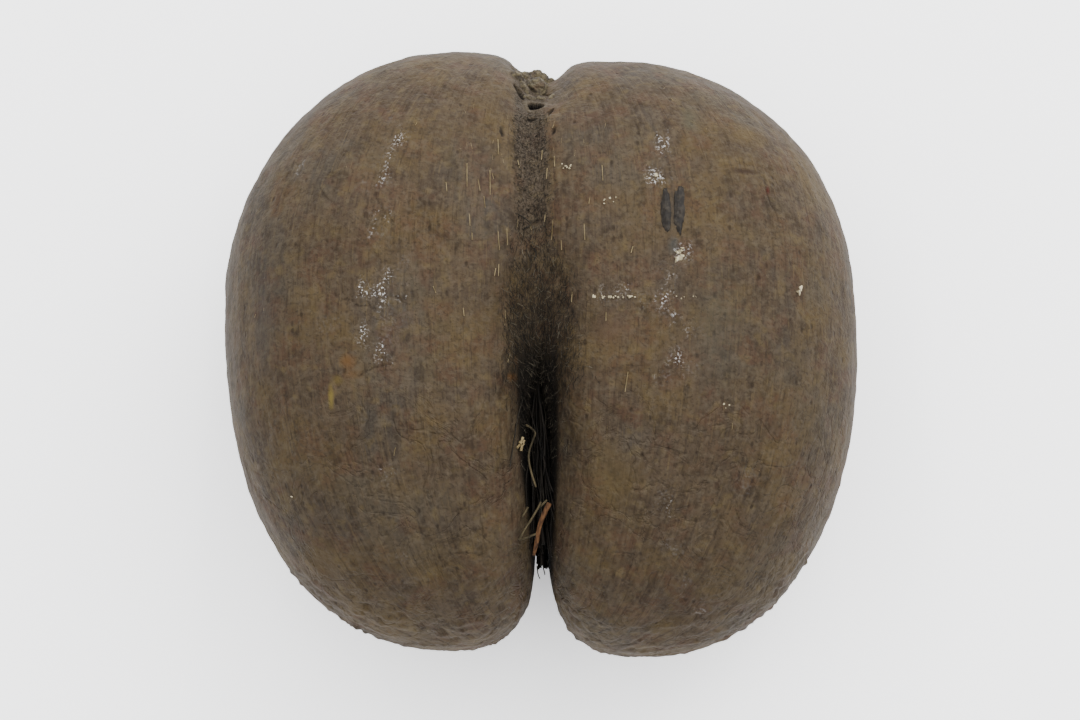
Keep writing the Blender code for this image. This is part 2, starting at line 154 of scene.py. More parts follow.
def lobe_distance(lobe, points):
    """Roughly how far each point is outside one lobe, measured towards the lobe's middle."""
    across = lobe["side"] * from_middle_line(points)
    along = points[:, 1] - lobe["widest"]
    up = points[:, 2]
    rise = np.abs(up) / np.where(up > 0, lobe["front"], lobe["back"])
    axis = lobe["axis"] - lobe["lean"] * points[:, 1]
    crest = axis + CREST_OUT * rise**2
    along = along + np.where(up > 0, 0, BACK_SLIP) * rise**2
    grown = smooth_step(CLEFT_FULL, CLEFT_TOP, points[:, 1])
    reach = (crest - HALF_GAP) * (1 - grown) + GROWN_REACH * grown
    wall = smooth_step(TIP_WALL_FULL, TIP_WALL_FROM, points[:, 1])
    wall = TIP_WALL_POWER * (1 - wall) + WALL_POWER * wall
    inner = (np.maximum(crest - across, 0) / reach) ** (wall * (1 - grown) + GROWN_POWER * grown)
    outer = (np.maximum(across - crest, 0) / lobe["outer"]) ** lobe["outer_power"]
    length = np.where(along > 0, lobe["above"], lobe["below"])
    length_power = np.where(along > 0, lobe["above_power"], lobe["below_power"])
    walled = smooth_step(-0.005, 0.040, crest - across) * (1 - grown) * (1 - smooth_step(0.1, 0.8, rise))
    length_power = length_power * (1 - walled) + WALL_LENGTH_POWER * walled
    total = inner + outer + (np.abs(along) / length) ** length_power + rise**DEPTH_POWER
    outer_top = np.maximum(across - axis, 0) / lobe["outer"] * np.maximum(along, 0) / lobe["above"]
    total = total + lobe["shoulder"] * outer_top
    radius = np.linalg.norm(np.column_stack([across - axis, along, up]), axis=1)
    return radius * (1 - np.maximum(total, 1e-9) ** (-1 / DEPTH_POWER))


def shell_distance(points):
    """Both lobes as one body, with a rounded join and the furrow along it."""
    points = points - MIDDLE
    left, right = lobe_distance(LEFT_LOBE, points), lobe_distance(RIGHT_LOBE, points)
    stalk = smooth_step(CLEFT_FULL, 0.06, points[:, 1])
    blend = BLEND_CROTCH * (1 - stalk) + BLEND_STALK * stalk
    overlap = np.maximum(blend - np.abs(left - right), 0) / blend
    fan = np.exp(-(((points[:, 1] - FAN_LEVEL) / FAN_REACH) ** 2)) * smooth_step(0, 0.05, points[:, 2])
    depth = FURROW_DEPTH * (1 + FAN_DEEPER * fan) * smooth_step(CLEFT_FULL, 0.0, points[:, 1])
    furrow = depth * np.exp(-((from_middle_line(points) / (FURROW_WIDTH * (1 + FAN_WIDER * fan))) ** 2))
    dip = DIP_DEPTH * np.exp(-(((from_middle_line(points) - DIP_SIDE) / DIP_WIDTH) ** 2))
    dip = dip * smooth_step(DIP_FROM, DIP_FULL, points[:, 1])
    return np.minimum(left, right) - overlap**2 * blend / 4 + furrow + dip


def outward(points):
    """The direction in which the formula grows, and how fast, at each point."""
    nudge = 0.0002
    slope = np.column_stack([
        shell_distance(points + step) - shell_distance(points - step) for step in np.eye(3) * nudge
    ]) / (2 * nudge)
    steepness = np.linalg.norm(slope, axis=1)[:, None]
    return slope / steepness, steepness[:, 0]


LONGEST_MOVE = 0.002


def onto_shell(points, rounds=5):
    """Moves points onto the surface of the formula, a step along its slope at a time."""
    for _ in range(rounds):
        direction, steepness = outward(points)
        step = np.clip(shell_distance(points) / steepness, -LONGEST_MOVE, LONGEST_MOVE)
        points = points - direction * step[:, None]
    return points


SEEN_FROM, SEEN_TO, SEEN_STEPS = DISTANCE - 0.14, DISTANCE + 0.01, 90  # the stretch of each line that is searched
SEEN_STEP = 0.003  # a little more than one of those steps
HALVINGS = 20


def seen_on_shell(pixels):
    """Where the camera's sight line through each pixel first meets the shell."""
    eye = np.array(camera.location)
    lines = sight_lines(pixels)
    near = np.full(len(lines), SEEN_FROM)
    for reach in np.linspace(SEEN_FROM, SEEN_TO, SEEN_STEPS):
        outside = shell_distance(eye + lines * reach) > 0
        near = np.where(outside & (near > reach - SEEN_STEP), reach, near)
    far = near + SEEN_STEP
    for _ in range(HALVINGS):
        half = (near + far) / 2
        outside = shell_distance(eye + lines * half[:, None]) > 0
        near = np.where(outside, half, near)
        far = np.where(outside, far, half)
    return eye + lines * far[:, None]


print("the pore is at", np.round(seen_on_shell([(536, 108)])[0], 4))

# %% [markdown]
# ## A net over the form
# The formula has to become a mesh with even faces, because stretched ones would show in the grain. Rings of points
# would crowd at their poles, so this lays a grid of small cubes through the nut instead. Every cube that the surface
# passes through gets one point, and the points of the four cubes round a crossed grid edge make one face. The points
# are then pulled onto the surface, and evened out along it.

# %% Cubes to faces
NET_STEP = 0.0025
EVENING_ROUNDS, EVENING_SHARE = 6, 0.6


def net_over(low, high, step):
    """One point in each grid cube that the shell's surface crosses, and the faces between them."""
    axes = [np.arange(a, b + step, step) for a, b in zip(low, high)]
    corners = np.stack(np.meshgrid(*axes, indexing="ij"), axis=-1)
    inside = shell_distance(corners.reshape(-1, 3)).reshape(corners.shape[:3]) < 0
    cubes = [count - 1 for count in inside.shape]
    filled = np.zeros(cubes, int)
    for x, y, z in itertools.product((0, 1), repeat=3):
        filled += inside[x : x + cubes[0], y : y + cubes[1], z : z + cubes[2]]
    crossed = (filled > 0) & (filled < 8)
    number = np.full(cubes, -1)
    number[crossed] = np.arange(crossed.sum())
    faces = []
    for axis in range(3):
        ends = np.moveaxis(inside, axis, 0)
        cube = np.moveaxis(number, axis, 0)
        k, a, b = np.nonzero((ends[1:] != ends[:-1])[:, 1:-1, 1:-1])
        faces.append(np.stack([cube[k, a, b], cube[k, a + 1, b], cube[k, a + 1, b + 1], cube[k, a, b + 1]], axis=1))
    return corners[:-1, :-1, :-1][crossed] + step / 2, np.concatenate(faces)


def evened(points, faces, rounds):
    """Moves each point towards the middle of its neighbours and back onto the shell."""
    edges = np.concatenate([faces[:, [k, (k + 1) % 4]] for k in range(4)])
    edges = np.concatenate([edges, edges[:, ::-1]])
    neighbours = np.bincount(edges[:, 0], minlength=len(points))[:, None]
    for _ in range(rounds):
        sums = [np.bincount(edges[:, 0], points[edges[:, 1], k], minlength=len(points)) for k in range(3)]
        middle = np.column_stack(sums) / neighbours
        points = onto_shell(points + EVENING_SHARE * (middle - points), 2)
    return points


margin = 3 * NET_STEP
points, faces = net_over(np.array(cad_box[0]) - margin, np.array(cad_box[1]) + margin, NET_STEP)
points = evened(onto_shell(points), faces, EVENING_ROUNDS)
print("net:", len(points), "points and", len(faces), "faces")

# %% [markdown]
# ## Where the skin is finer
# The grain of the shell is coarse enough for this net, but the stalk scar, the furrow and the cracks aren't. Making
# the whole net finer would cost millions of faces, so only the faces near those places are cut in four, and those at
# the scar and along the cracks are cut again. The cracks are drawn through pixels of the photograph.

# %% Cracks and creases, as pixels of the photograph
CRACKS = (
    ((335, 294), (340, 300), (346, 299), (351, 300), (358, 306), (367, 305), (375, 309)),
    ((359, 376), (365, 372), (370, 370), (375, 367), (384, 366), (391, 364)),
    ((396, 296), (402, 301), (409, 304)),
    ((320, 188), (324, 195), (331, 201)),
    ((376, 198), (381, 206), (386, 217)),
    ((766, 187), (768, 195), (771, 204), (776, 209), (782, 211)),
)
CREASES = (
    ((424, 214), (433, 224), (442, 238)),
    ((449, 160), (453, 175), (458, 188)),
    ((453, 520), (464, 524), (478, 530), (496, 532)),
    ((730, 173), (742, 170), (759, 174)),
    ((455, 470), (468, 478), (476, 489)),
    ((610, 470), (622, 482), (628, 498)),
)
PORE_PIXEL, PORE_HALVES, PORE_DEPTH, PORE_LIP = (536.5, 106.5), (0.0036, 0.0033), 0.0080, 0.0006
PIT_PIXEL, PIT_HALVES, PIT_DEPTH = (532, 119), (0.0022, 0.0011), 0.0022
BEAD_GAP = 0.0008


def beads(line):
    """Points at small gaps along a line of pixels, on the shell."""
    knots = seen_on_shell(line)
    rows = []
    for low, high in zip(knots, knots[1:]):
        count = max(int(np.linalg.norm(high - low) / BEAD_GAP), 1)
        rows += [low + (high - low) * n / count for n in range(count)]
    return onto_shell(np.array(rows + [knots[-1]]))


def tree_of(points):
    """A search tree of points."""
    tree = kdtree.KDTree(len(points))
    for number, point in enumerate(points):
        tree.insert(point, number)
    tree.balance()
    return tree


cracks = tree_of(np.concatenate([beads(line) for line in CRACKS]))
creases = tree_of(np.concatenate([beads(line) for line in CREASES]))
pore, pit = seen_on_shell([PORE_PIXEL, PIT_PIXEL])
print("crack points:", len(cracks.find_range(Vector(MIDDLE), 1)), "pore", np.round(pore, 4))


# %% Faces to a shell object
def new_piece(name, points, faces):
    """A mesh object from points and faces, shaded smooth."""
    mesh = bpy.data.meshes.new(name)
    mesh.from_pydata(points, [], faces)
    mesh.shade_smooth()
    piece = bpy.data.objects.new(name, mesh)
    bpy.context.scene.collection.objects.link(piece)
    return piece


def cut_finer(mesh, wanted):
    """Cuts in four each face whose middle passes the test."""
    middles = np.array([face.calc_center_median() for face in mesh.faces])
    chosen = wanted(middles)
    edges = {edge for face, near in zip(mesh.faces, chosen) if near for edge in face.edges}
    bmesh.ops.subdivide_edges(mesh, edges=list(edges), cuts=1, use_grid_fill=True)


def near_tree(tree, points, reach):
    """Whether each point is this near to any point of a tree."""
    return np.array([tree.find(point)[2] < reach for point in points])


def near_fine_places(middles):
    """Faces of the furrow on the front, those of the folded lobe ends, and those along cracks and creases."""
    local = middles - MIDDLE
    furrow = (np.abs(from_middle_line(local)) < 0.013) & (local[:, 1] > -0.030) & (local[:, 2] > 0.02)
    ends = (local[:, 1] < -0.092) & (np.abs(local[:, 2] - 0.012) < 0.030)
    return furrow | ends | near_tree(cracks, middles, 0.004) | near_tree(creases, middles, 0.005)


def near_finest_places(middles):
    """Faces of the granular band, those round the stalk scar, and those in the cracks."""
    local = middles - MIDDLE
    band = (np.abs(from_middle_line(local)) < 0.0085) & (local[:, 1] > 0.035) & (local[:, 2] > 0.02)
    scar = (np.linalg.norm(middles - pore, axis=1) < 0.019) & (middles[:, 2] > MIDDLE[2])
    return band | scar | near_tree(cracks, middles, 0.0022)


def near_pore(middles):
    """Faces round the pore and the pit."""
    return np.linalg.norm(middles - pore, axis=1) < 0.009


shell = new_piece("nut_shell", points.tolist(), faces.tolist())
skin = bmesh.new()
skin.from_mesh(shell.data)
for test in (near_fine_places, near_finest_places, near_pore):
    cut_finer(skin, test)
bmesh.ops.recalc_face_normals(skin, faces=skin.faces)
skin.to_mesh(shell.data)
skin.free()
points = onto_shell(np.array([vert.co for vert in shell.data.vertices]), 3)
print("skin:", sum(len(face.vertices) - 2 for face in shell.data.polygons), "triangles")

# %% [markdown]
# ## Relief
# A dried nut isn't smooth: low ridges run along the grain from the stalk end to the tips, the surface swells and sinks
# a little, soft folds cross the lower half, the lobe ends are pitted, and the furrow is granular. Bump alone would
# leave the outline and the highlights too clean, so these go into the mesh. Each is a noise read in its own
# coordinates, and the skin is set a little inwards, because the solid is the largest that the nut may be. The masks
# say how much of each a point gets. They are kept on the mesh, and the finish reads them again.

# %% Places that follow the grain
GRAIN_AXIS = 0.012  # the grain lines fan out from an axis this far below the middle


def along_grain(points, around, along):
    """Places in a noise that is stretched along the grain, with this many cells a radian and a metre."""
    side = from_middle_line(points - MIDDLE)
    up = points[:, 2] - MIDDLE[2] + GRAIN_AXIS
    reach = np.maximum(np.hypot(side, up), 0.003)
    return np.column_stack([side / reach * around, points[:, 1] * along, up / reach * around])


def noise_at(places, offset=0.0):
    """Smooth noise between about -1 and 1 at each place."""
    return np.array([noise.noise(place) for place in (places + offset).tolist()])


# %% Masks
def masks_of(points):
    """How much each point belongs to the furrow, the fan of hairs, the cleft, the lobe ends and the soft folds."""
    local = points - MIDDLE
    off = np.abs(from_middle_line(local))
    level = local[:, 1]
    front = smooth_step(0.000, 0.025, local[:, 2])
    furrow = (1 - smooth_step(0.0050, 0.0084, off)) * smooth_step(0.015, 0.090, level)
    spread = 0.0065 + 0.015 * smooth_step(0.062, 0.000, level) * smooth_step(-0.045, -0.005, level)
    fan = np.exp(-((off / spread) ** 2)) * smooth_step(0.065, -0.010, level) * smooth_step(-0.085, -0.045, level)
    # The cleft mask colours its walls near black: their dark lining, deepened with painted shade
    lips = 0.0102 - 0.0040 * smooth_step(-0.050, -0.105, level)
    depth = (1 - smooth_step(lips - 0.0035, lips, off)) * smooth_step(-0.004, -0.024, level)
    cleft = depth * (1 - front * smooth_step(-0.110, -0.124, level))
    ends = smooth_step(-0.075, -0.120, level)
    folds = smooth_step(-0.020, -0.055, level) * smooth_step(-0.03, 0.00, local[:, 2]) * (1 - cleft)
    return {"furrow": furrow, "fan": fan * front, "cleft": cleft, "ends": ends, "folds": folds}


# %% Dents and grooves
def dents(points, mask, count, depths, reaches, draw):
    """Small round pits, or bumps where the depth is below 0, at random points of a mask."""
    chosen = draw.choice(len(points), count, replace=False, p=mask / mask.sum())
    tree = tree_of(points)
    offset = np.zeros(len(points))
    for number in chosen:
        depth, reach = draw.uniform(*depths), draw.uniform(*reaches)
        for _, index, distance in tree.find_range(points[number], 2 * reach):
            offset[index] -= depth * math.exp(-((distance / reach) ** 2))
    return offset


def groove(points, tree, depth, width):
    """A sharp-bottomed groove along the points of a tree."""
    distance = np.array([tree.find(point)[2] for point in points])
    return -depth * np.exp(-((distance / width) ** 1.5)), np.exp(-((distance / width) ** 2))


# %% Relief of the shell: heights, and the cells of the noise that each follows
SWELL, SWELL_CELL, SMALL_SWELL_CELL = 0.00060, 0.030, 0.013
LUMPY, LUMPY_CELL, SMALL_LUMPY_CELL = 0.00036, 0.0075, 0.0042
RIDGE, RIDGE_CELLS = 0.00024, (14, 14)  # cells a radian and a metre
FINE_RIDGE, FINE_RIDGE_CELLS = 0.00014, (33, 26)
GRIT, GRIT_CELL = 0.00026, 0.0014
WRINKLE, WRINKLE_CELLS, FINE_WRINKLE_CELLS = 0.00034, (55, 55, 260), (90, 90, 480)  # cells a metre
FOLD, FOLD_CELL, FOLD_WIDTH = 0.0007, 0.024, 0.055
FOLD_BEND, FOLD_BEND_CELL = 0.004, 0.013
FOLD_PATCH_CELL, FOLD_COVER = 0.034, 0.4
CRACK_GROOVE, CREASE_GROOVE = (0.0006, 0.0004), (0.00035, 0.0014)  # depth and width
PITS_AT_ENDS = (900, (-0.0009, 0.0009), (0.0010, 0.0019))  # how many, how deep and how wide
PITS_ELSEWHERE = (420, (-0.0001, 0.0005), (0.0012, 0.0026))
SKIN_SUNK = 0.0002


def fold_lines(points):
    """How near each point is to a soft fold: the lines where a bent noise is 0, in some patches only."""
    bend = np.column_stack([noise_at(points / FOLD_BEND_CELL, seed) for seed in (20.0, 30.0, 40.0)])
    bent = points + FOLD_BEND * bend
    line = np.exp(-((noise_at(bent / FOLD_CELL, 12.0) / FOLD_WIDTH) ** 2))
    return line * np.clip(noise_at(points / FOLD_PATCH_CELL, 17.0) + FOLD_COVER, 0, 1)


def relief_of(points, masks):
    """How far each point moves along its normal, and how much dark colour it gets: the cracks, and painted shade along
    the creases and folds.
    """
    draw = np.random.default_rng(11)
    swell = SWELL * noise_at(points / SWELL_CELL) + 0.5 * SWELL * noise_at(points / SMALL_SWELL_CELL, 7.3)
    calm = 1 - masks["cleft"]
    ridges = RIDGE * noise_at(along_grain(points, *RIDGE_CELLS))
    ridges += FINE_RIDGE * noise_at(along_grain(points, *FINE_RIDGE_CELLS), 3.1)
    lumpy = LUMPY * noise_at(points / LUMPY_CELL, 2.2) + 0.7 * LUMPY * noise_at(points / SMALL_LUMPY_CELL, 8.1)
    grit = GRIT * (masks["furrow"] + 0.5 * masks["fan"]) * noise_at(points / GRIT_CELL, 1.7)
    rings = noise_at(points * WRINKLE_CELLS, 5.0) + 0.7 * noise_at(points * FINE_WRINKLE_CELLS, 6.0)
    wrinkles = WRINKLE * masks["ends"] * rings
    fold = masks["folds"] * fold_lines(points)
    pits = dents(points, masks["ends"] ** 2 + 1e-6, *PITS_AT_ENDS, draw)
    pits += dents(points, 1 - masks["ends"] + 1e-6, *PITS_ELSEWHERE, draw)
    crack_relief, crack = groove(points, cracks, *CRACK_GROOVE)
    crease_relief, crease = groove(points, creases, *CREASE_GROOVE)
    total = swell + calm * (ridges + lumpy + wrinkles + pits - FOLD * fold) + grit + crack_relief + crease_relief
    # The second mask darkens the cracks, and paints shade along the creases and folds
    return total - SKIN_SUNK, np.maximum.reduce([crack, 0.25 * crease, 0.30 * fold])


# %% Glints: pixels round which the photograph shows specks that shine
GLINTS = (
    (347, 140), (387, 157), (392, 120), (396, 140), (364, 183), (380, 170), (388, 180), (380, 232), (385, 215),
    (385, 284), (404, 262), (387, 303), (382, 292), (404, 288), (361, 334), (386, 356), (388, 340), (362, 290),
    (402, 320), (390, 322), (390, 270), (386, 318), (383, 345), (385, 478), (404, 558), (408, 582), (300, 167),
    (333, 320), (322, 327), (663, 137), (665, 148), (657, 176), (665, 270), (665, 298), (668, 312), (698, 331),
    (675, 360), (692, 367), (667, 377), (665, 497), (662, 508), (670, 544), (677, 552), (748, 473), (745, 490),
    (684, 582), (701, 607), (683, 252), (640, 296), (606, 297), (625, 296),
)
GLINT_REACH = 0.0034

masks = masks_of(points)
relief, masks["crack"] = relief_of(points, masks)
shiny = tree_of(seen_on_shell(GLINTS))
masks["shiny"] = np.exp(-((np.array([shiny.find(point)[2] for point in points]) / GLINT_REACH) ** 2))
direction, _ = outward(points)
clear_of_table = smooth_step(0.0, 0.008, points[:, 2])
print("relief from", round(relief.min() * 1000, 2), "to", round(relief.max() * 1000, 2), "mm")


# %% The pore and the pit
RAGGED, RAGGED_CELL = 0.10, 0.0030  # how uneven the rim of a hole is
LIP_AT, LIP_WIDTH = 1.25, 0.35  # where the raised lip is, in radii of the hole
HOLE_REACH = 0.010


def directions_at(centre):
    """Unit vectors across the shell at one point of it, along it, and out of it."""
    normal = outward(centre[None, :])[0][0]
    side = np.cross((0.0, 1.0, 0.0), normal)
    side /= np.linalg.norm(side)
    return side, np.cross(normal, side), normal


def sink_hole(points, centre, halves, depth, lip=0.0):
    """How far the points inside an oval move straight in, how much painted shade the hole gets there, and its raised
    lip, which gets a painted highlight.
    """
    side, slope, normal = directions_at(centre)
    away = points - centre
    oval = np.hypot(away @ side / halves[0], away @ slope / halves[1])
    oval = oval * (1 + RAGGED * noise_at(points / RAGGED_CELL, 9.0))
    near = np.abs(away @ normal) < HOLE_REACH
    hole = near * np.sqrt(np.clip(1 - oval**2, 0, 1))
    ridge = near * np.exp(-(((oval - LIP_AT) / LIP_WIDTH) ** 2)) * (oval > 1)
    return (ridge * lip - hole * depth)[:, None] * normal, hole, ridge


def store_mask(name, values):
    """Keeps a mask on the shell."""
    layer = shell.data.attributes.new(name, "FLOAT", "POINT")
    layer.data.foreach_set("value", values.astype(np.float32))


# The pore's raised lip is painted paler: a painted highlight round its rim
pore_move, pore_hole, masks["lip"] = sink_hole(points, pore, PORE_HALVES, PORE_DEPTH, PORE_LIP)
pit_move, pit_hole, _ = sink_hole(points, pit, PIT_HALVES, PIT_DEPTH)
# The hole mask paints shade into the pore and the pit, near black where they sink
masks["hole"] = np.maximum(pore_hole > 0, 0.75 * (pit_hole > 0))

# %% Hollows beside the scar and the pore, darkened with painted shade, by pixel, half-sizes and depth
RECESSES = (
    ((519.5, 91), (0.0023, 0.0050), 0.0036),
    ((547, 94), (0.0016, 0.0022), 0.0018),
    ((551, 111), (0.0012, 0.0030), 0.0014),
    ((553, 131), (0.0009, 0.0022), 0.0010),
    ((502, 131), (0.0009, 0.0034), 0.0009),
)
for pixel, halves, depth in RECESSES:
    move, hollow, _ = sink_hole(points, seen_on_shell([pixel])[0], halves, depth)
    pit_move = pit_move + move
    # Painted shade in each hollow too
    masks["hole"] = np.maximum(masks["hole"], 0.9 * np.sqrt(hollow))
points = points + direction * (relief * clear_of_table)[:, None] + pore_move + pit_move
points = np.clip(points, cad_box[0], cad_box[1])
shell.data.vertices.foreach_set("co", points.astype(np.float32).ravel())
for name, mask in masks.items():
    store_mask(name, mask)
shell.data.shade_smooth()
shell.data.update()
print("masks:", sorted(masks))

# %% [markdown]
# ## The stalk scar
# Where the nut hung from its stalk a corky stub is left, with torn lumps beside it. They break up in every direction,
# so pushing the shell's skin out would only stretch it. Instead each is a small ball of its own with a rough surface,
# set well into the shell. The pale chips on the lobes are such balls too, flat and far smaller: some are real chips,
# and the rest are painted glints, pale flakes put where the shell shines.

# %% Corky lumps, by pixel, half-sizes across, along and out of the shell, and how far each is sunk
LUMPS = (
    ((536.5, 88), (0.0044, 0.0066, 0.0058), 0.0008),
    ((536, 78), (0.0046, 0.0044, 0.0052), 0.0014),
    ((517.5, 76), (0.0038, 0.0034, 0.0030), 0.0012),
    ((526, 77), (0.0040, 0.0034, 0.0038), 0.0014),
    ((543, 78), (0.0030, 0.0032, 0.0036), 0.0012),
    ((549, 81), (0.0026, 0.0026, 0.0024), 0.0010),
    ((525, 88), (0.0014, 0.0050, 0.0022), 0.0006),
    ((545, 86), (0.0016, 0.0036, 0.0024), 0.0006),
    ((530, 97), (0.0030, 0.0020, 0.0016), 0.0006),
    ((541, 98), (0.0024, 0.0020, 0.0014), 0.0006),
    ((552, 96), (0.0012, 0.0040, 0.0012), 0.0005),
)

# %% Clusters of pale chips and of painted glints, by pixel, spread in pixels, number and size
CHIPS_AND_PAINTED_GLINTS = (
    ((680, 253), (3.5, 5.0), 9, 0.0009),
    ((677, 259), (1.5, 2.0), 4, 0.0007),
    ((800, 290), (3.0, 4.0), 6, 0.0007),
    ((614, 296.5), (21.0, 1.2), 22, 0.0005),
    ((690, 297), (14.0, 1.5), 6, 0.0003),
    ((568, 166), (6.0, 2.5), 8, 0.0005),
    ((656, 176), (1.5, 1.5), 3, 0.0007),
    ((292, 497), (1.0, 1.0), 2, 0.0006),
    ((610, 200), (7.0, 4.0), 6, 0.0004),
    ((725, 405), (5.0, 5.0), 4, 0.0004),
)


def lump(mesh, centre, size, sunk, number, cuts, roughness):
    """Adds one rough ball to a mesh, its third half-size along the shell's normal."""
    side, slope, normal = directions_at(centre)
    made = bmesh.ops.create_icosphere(mesh, subdivisions=cuts, radius=1.0)
    for vert in made["verts"]:
        spot = np.array(vert.co) * size
        rough = noise.noise(Vector(spot / 0.0040) + Vector((number, 0, 0)))
        rough += 0.9 * noise.noise(Vector(spot * (1, 0.6, 1) / 0.0015) + Vector((0, number, 0)))
        rough += 0.5 * noise.noise(Vector(spot / 0.0006))
        spot = spot * (1 + roughness * rough)
        vert.co = Vector(centre - normal * sunk + side * spot[0] + slope * spot[1] + normal * spot[2])


def lumpy_piece(name, rows, cuts, roughness):
    """A piece of several lumps."""
    mesh = bmesh.new()
    centres = seen_on_shell([pixel for pixel, _, _ in rows])
    for number, (centre, (_, size, sunk)) in enumerate(zip(centres, rows)):
        lump(mesh, centre, size, sunk, number, cuts, roughness)
    bmesh.ops.recalc_face_normals(mesh, faces=mesh.faces)
    piece = new_piece(name, [], [])
    mesh.to_mesh(piece.data)
    mesh.free()
    piece.data.shade_smooth()
    return piece


def scattered(rows, seed):
    """Flat flakes at random pixels of each cluster, as rows like those of the lumps."""
    draw = np.random.default_rng(seed)
    flakes = []
    for (x, y), (wide, tall), count, size in rows:
        for _ in range(count):
            pixel = (x + wide * draw.uniform(-1, 1), y + tall * draw.uniform(-1, 1))
            across, along = size * draw.uniform(0.4, 1.3, 2)
            flakes.append((pixel, (across, along, 0.4 * size), 0.0))
    return flakes


scar = lumpy_piece("stalk_scar", LUMPS, 5, 0.13)
# Pale flakes: real chips, and painted glints where the shell shines
chips_and_painted_glints = lumpy_piece("pale_chips_and_painted_glints", scattered(CHIPS_AND_PAINTED_GLINTS, 5), 3, 0.5)
print("scar:", len(scar.data.polygons), "faces; chips:", len(chips_and_painted_glints.data.polygons))

# %% [markdown]
# ## Building node trees
# Every tree below is made in the script, so that its values have names. One helper adds a node and fills its inputs,
# with a plain value or with another node's output. Two more stand for the two kinds of maths, which are used all the
# time. The last two make a tree with named sockets, and run a tree on a piece and keep what it made as plain mesh.

# %% Helpers for node trees
def add(tree, kind, inputs=None, **settings):
    """A new node. Its inputs are given by name or number, as a value or as a socket to link from."""
    node = tree.nodes.new(kind)
    for name, setting in settings.items():
        setattr(node, name, setting)
    for name, value in (inputs or {}).items():
        if isinstance(value, bpy.types.NodeSocket):
            tree.links.new(value, node.inputs[name])
        else:
            node.inputs[name].default_value = value
    return node


def maths(tree, operation, *values):
    """The result of a Math node."""
    return add(tree, "ShaderNodeMath", dict(enumerate(values)), operation=operation).outputs[0]


def vectors(tree, operation, *values):
    """The result of a Vector Math node, which for some operations is a number."""
    names = (0, "Scale") if operation == "SCALE" else range(len(values))
    node = add(tree, "ShaderNodeVectorMath", dict(zip(names, values)), operation=operation)
    return node.outputs["Value" if operation in ("LENGTH", "DOT_PRODUCT") else "Vector"]


def new_tree(name, kind, inputs, outputs):
    """A node group with named sockets, given as (name, kind of socket, value), and its two end nodes."""
    tree = bpy.data.node_groups.new(name, kind)
    for socket, socket_kind, value in inputs:
        made = tree.interface.new_socket(socket, in_out="INPUT", socket_type=socket_kind)
        if value is not None:
            made.default_value = value
    for socket, socket_kind in outputs:
        tree.interface.new_socket(socket, in_out="OUTPUT", socket_type=socket_kind)
    return tree, tree.nodes.new("NodeGroupInput").outputs, tree.nodes.new("NodeGroupOutput").inputs


def make_by_tree(piece, tree, **values):
    """Runs a geometry tree on a piece with these input values and keeps the result as its mesh."""
    modifier = piece.modifiers.new(tree.name, "NODES")
    modifier.node_group = tree
    sockets = {item.name: item.identifier for item in tree.interface.items_tree if item.in_out == "INPUT"}
    for name, value in values.items():
        modifier[sockets[name.replace("_", " ")]] = value
    graph = bpy.context.evaluated_depsgraph_get()
    mesh = bpy.data.meshes.new_from_object(piece.evaluated_get(graph))
    piece.modifiers.clear()
    piece.data = mesh
    mesh.name = piece.name
    print(piece.name, "has", sum(len(face.vertices) - 2 for face in mesh.polygons), "triangles")
    return piece


# %% [markdown]
# ## Hairs and slivers on the shell
# Short black husk hairs stand round the head of the cleft, fuzz lines the furrow, and pale slivers of straw stick to
# both sides of it. They are all the same thing at other sizes: a thin bent rod, rooted on the surface and laid more
# or less along the grain. Particles are dropped by the export and hundreds of hand-placed rods would be tedious, so
# one geometry tree scatters them over the shell wherever a mask is strong.

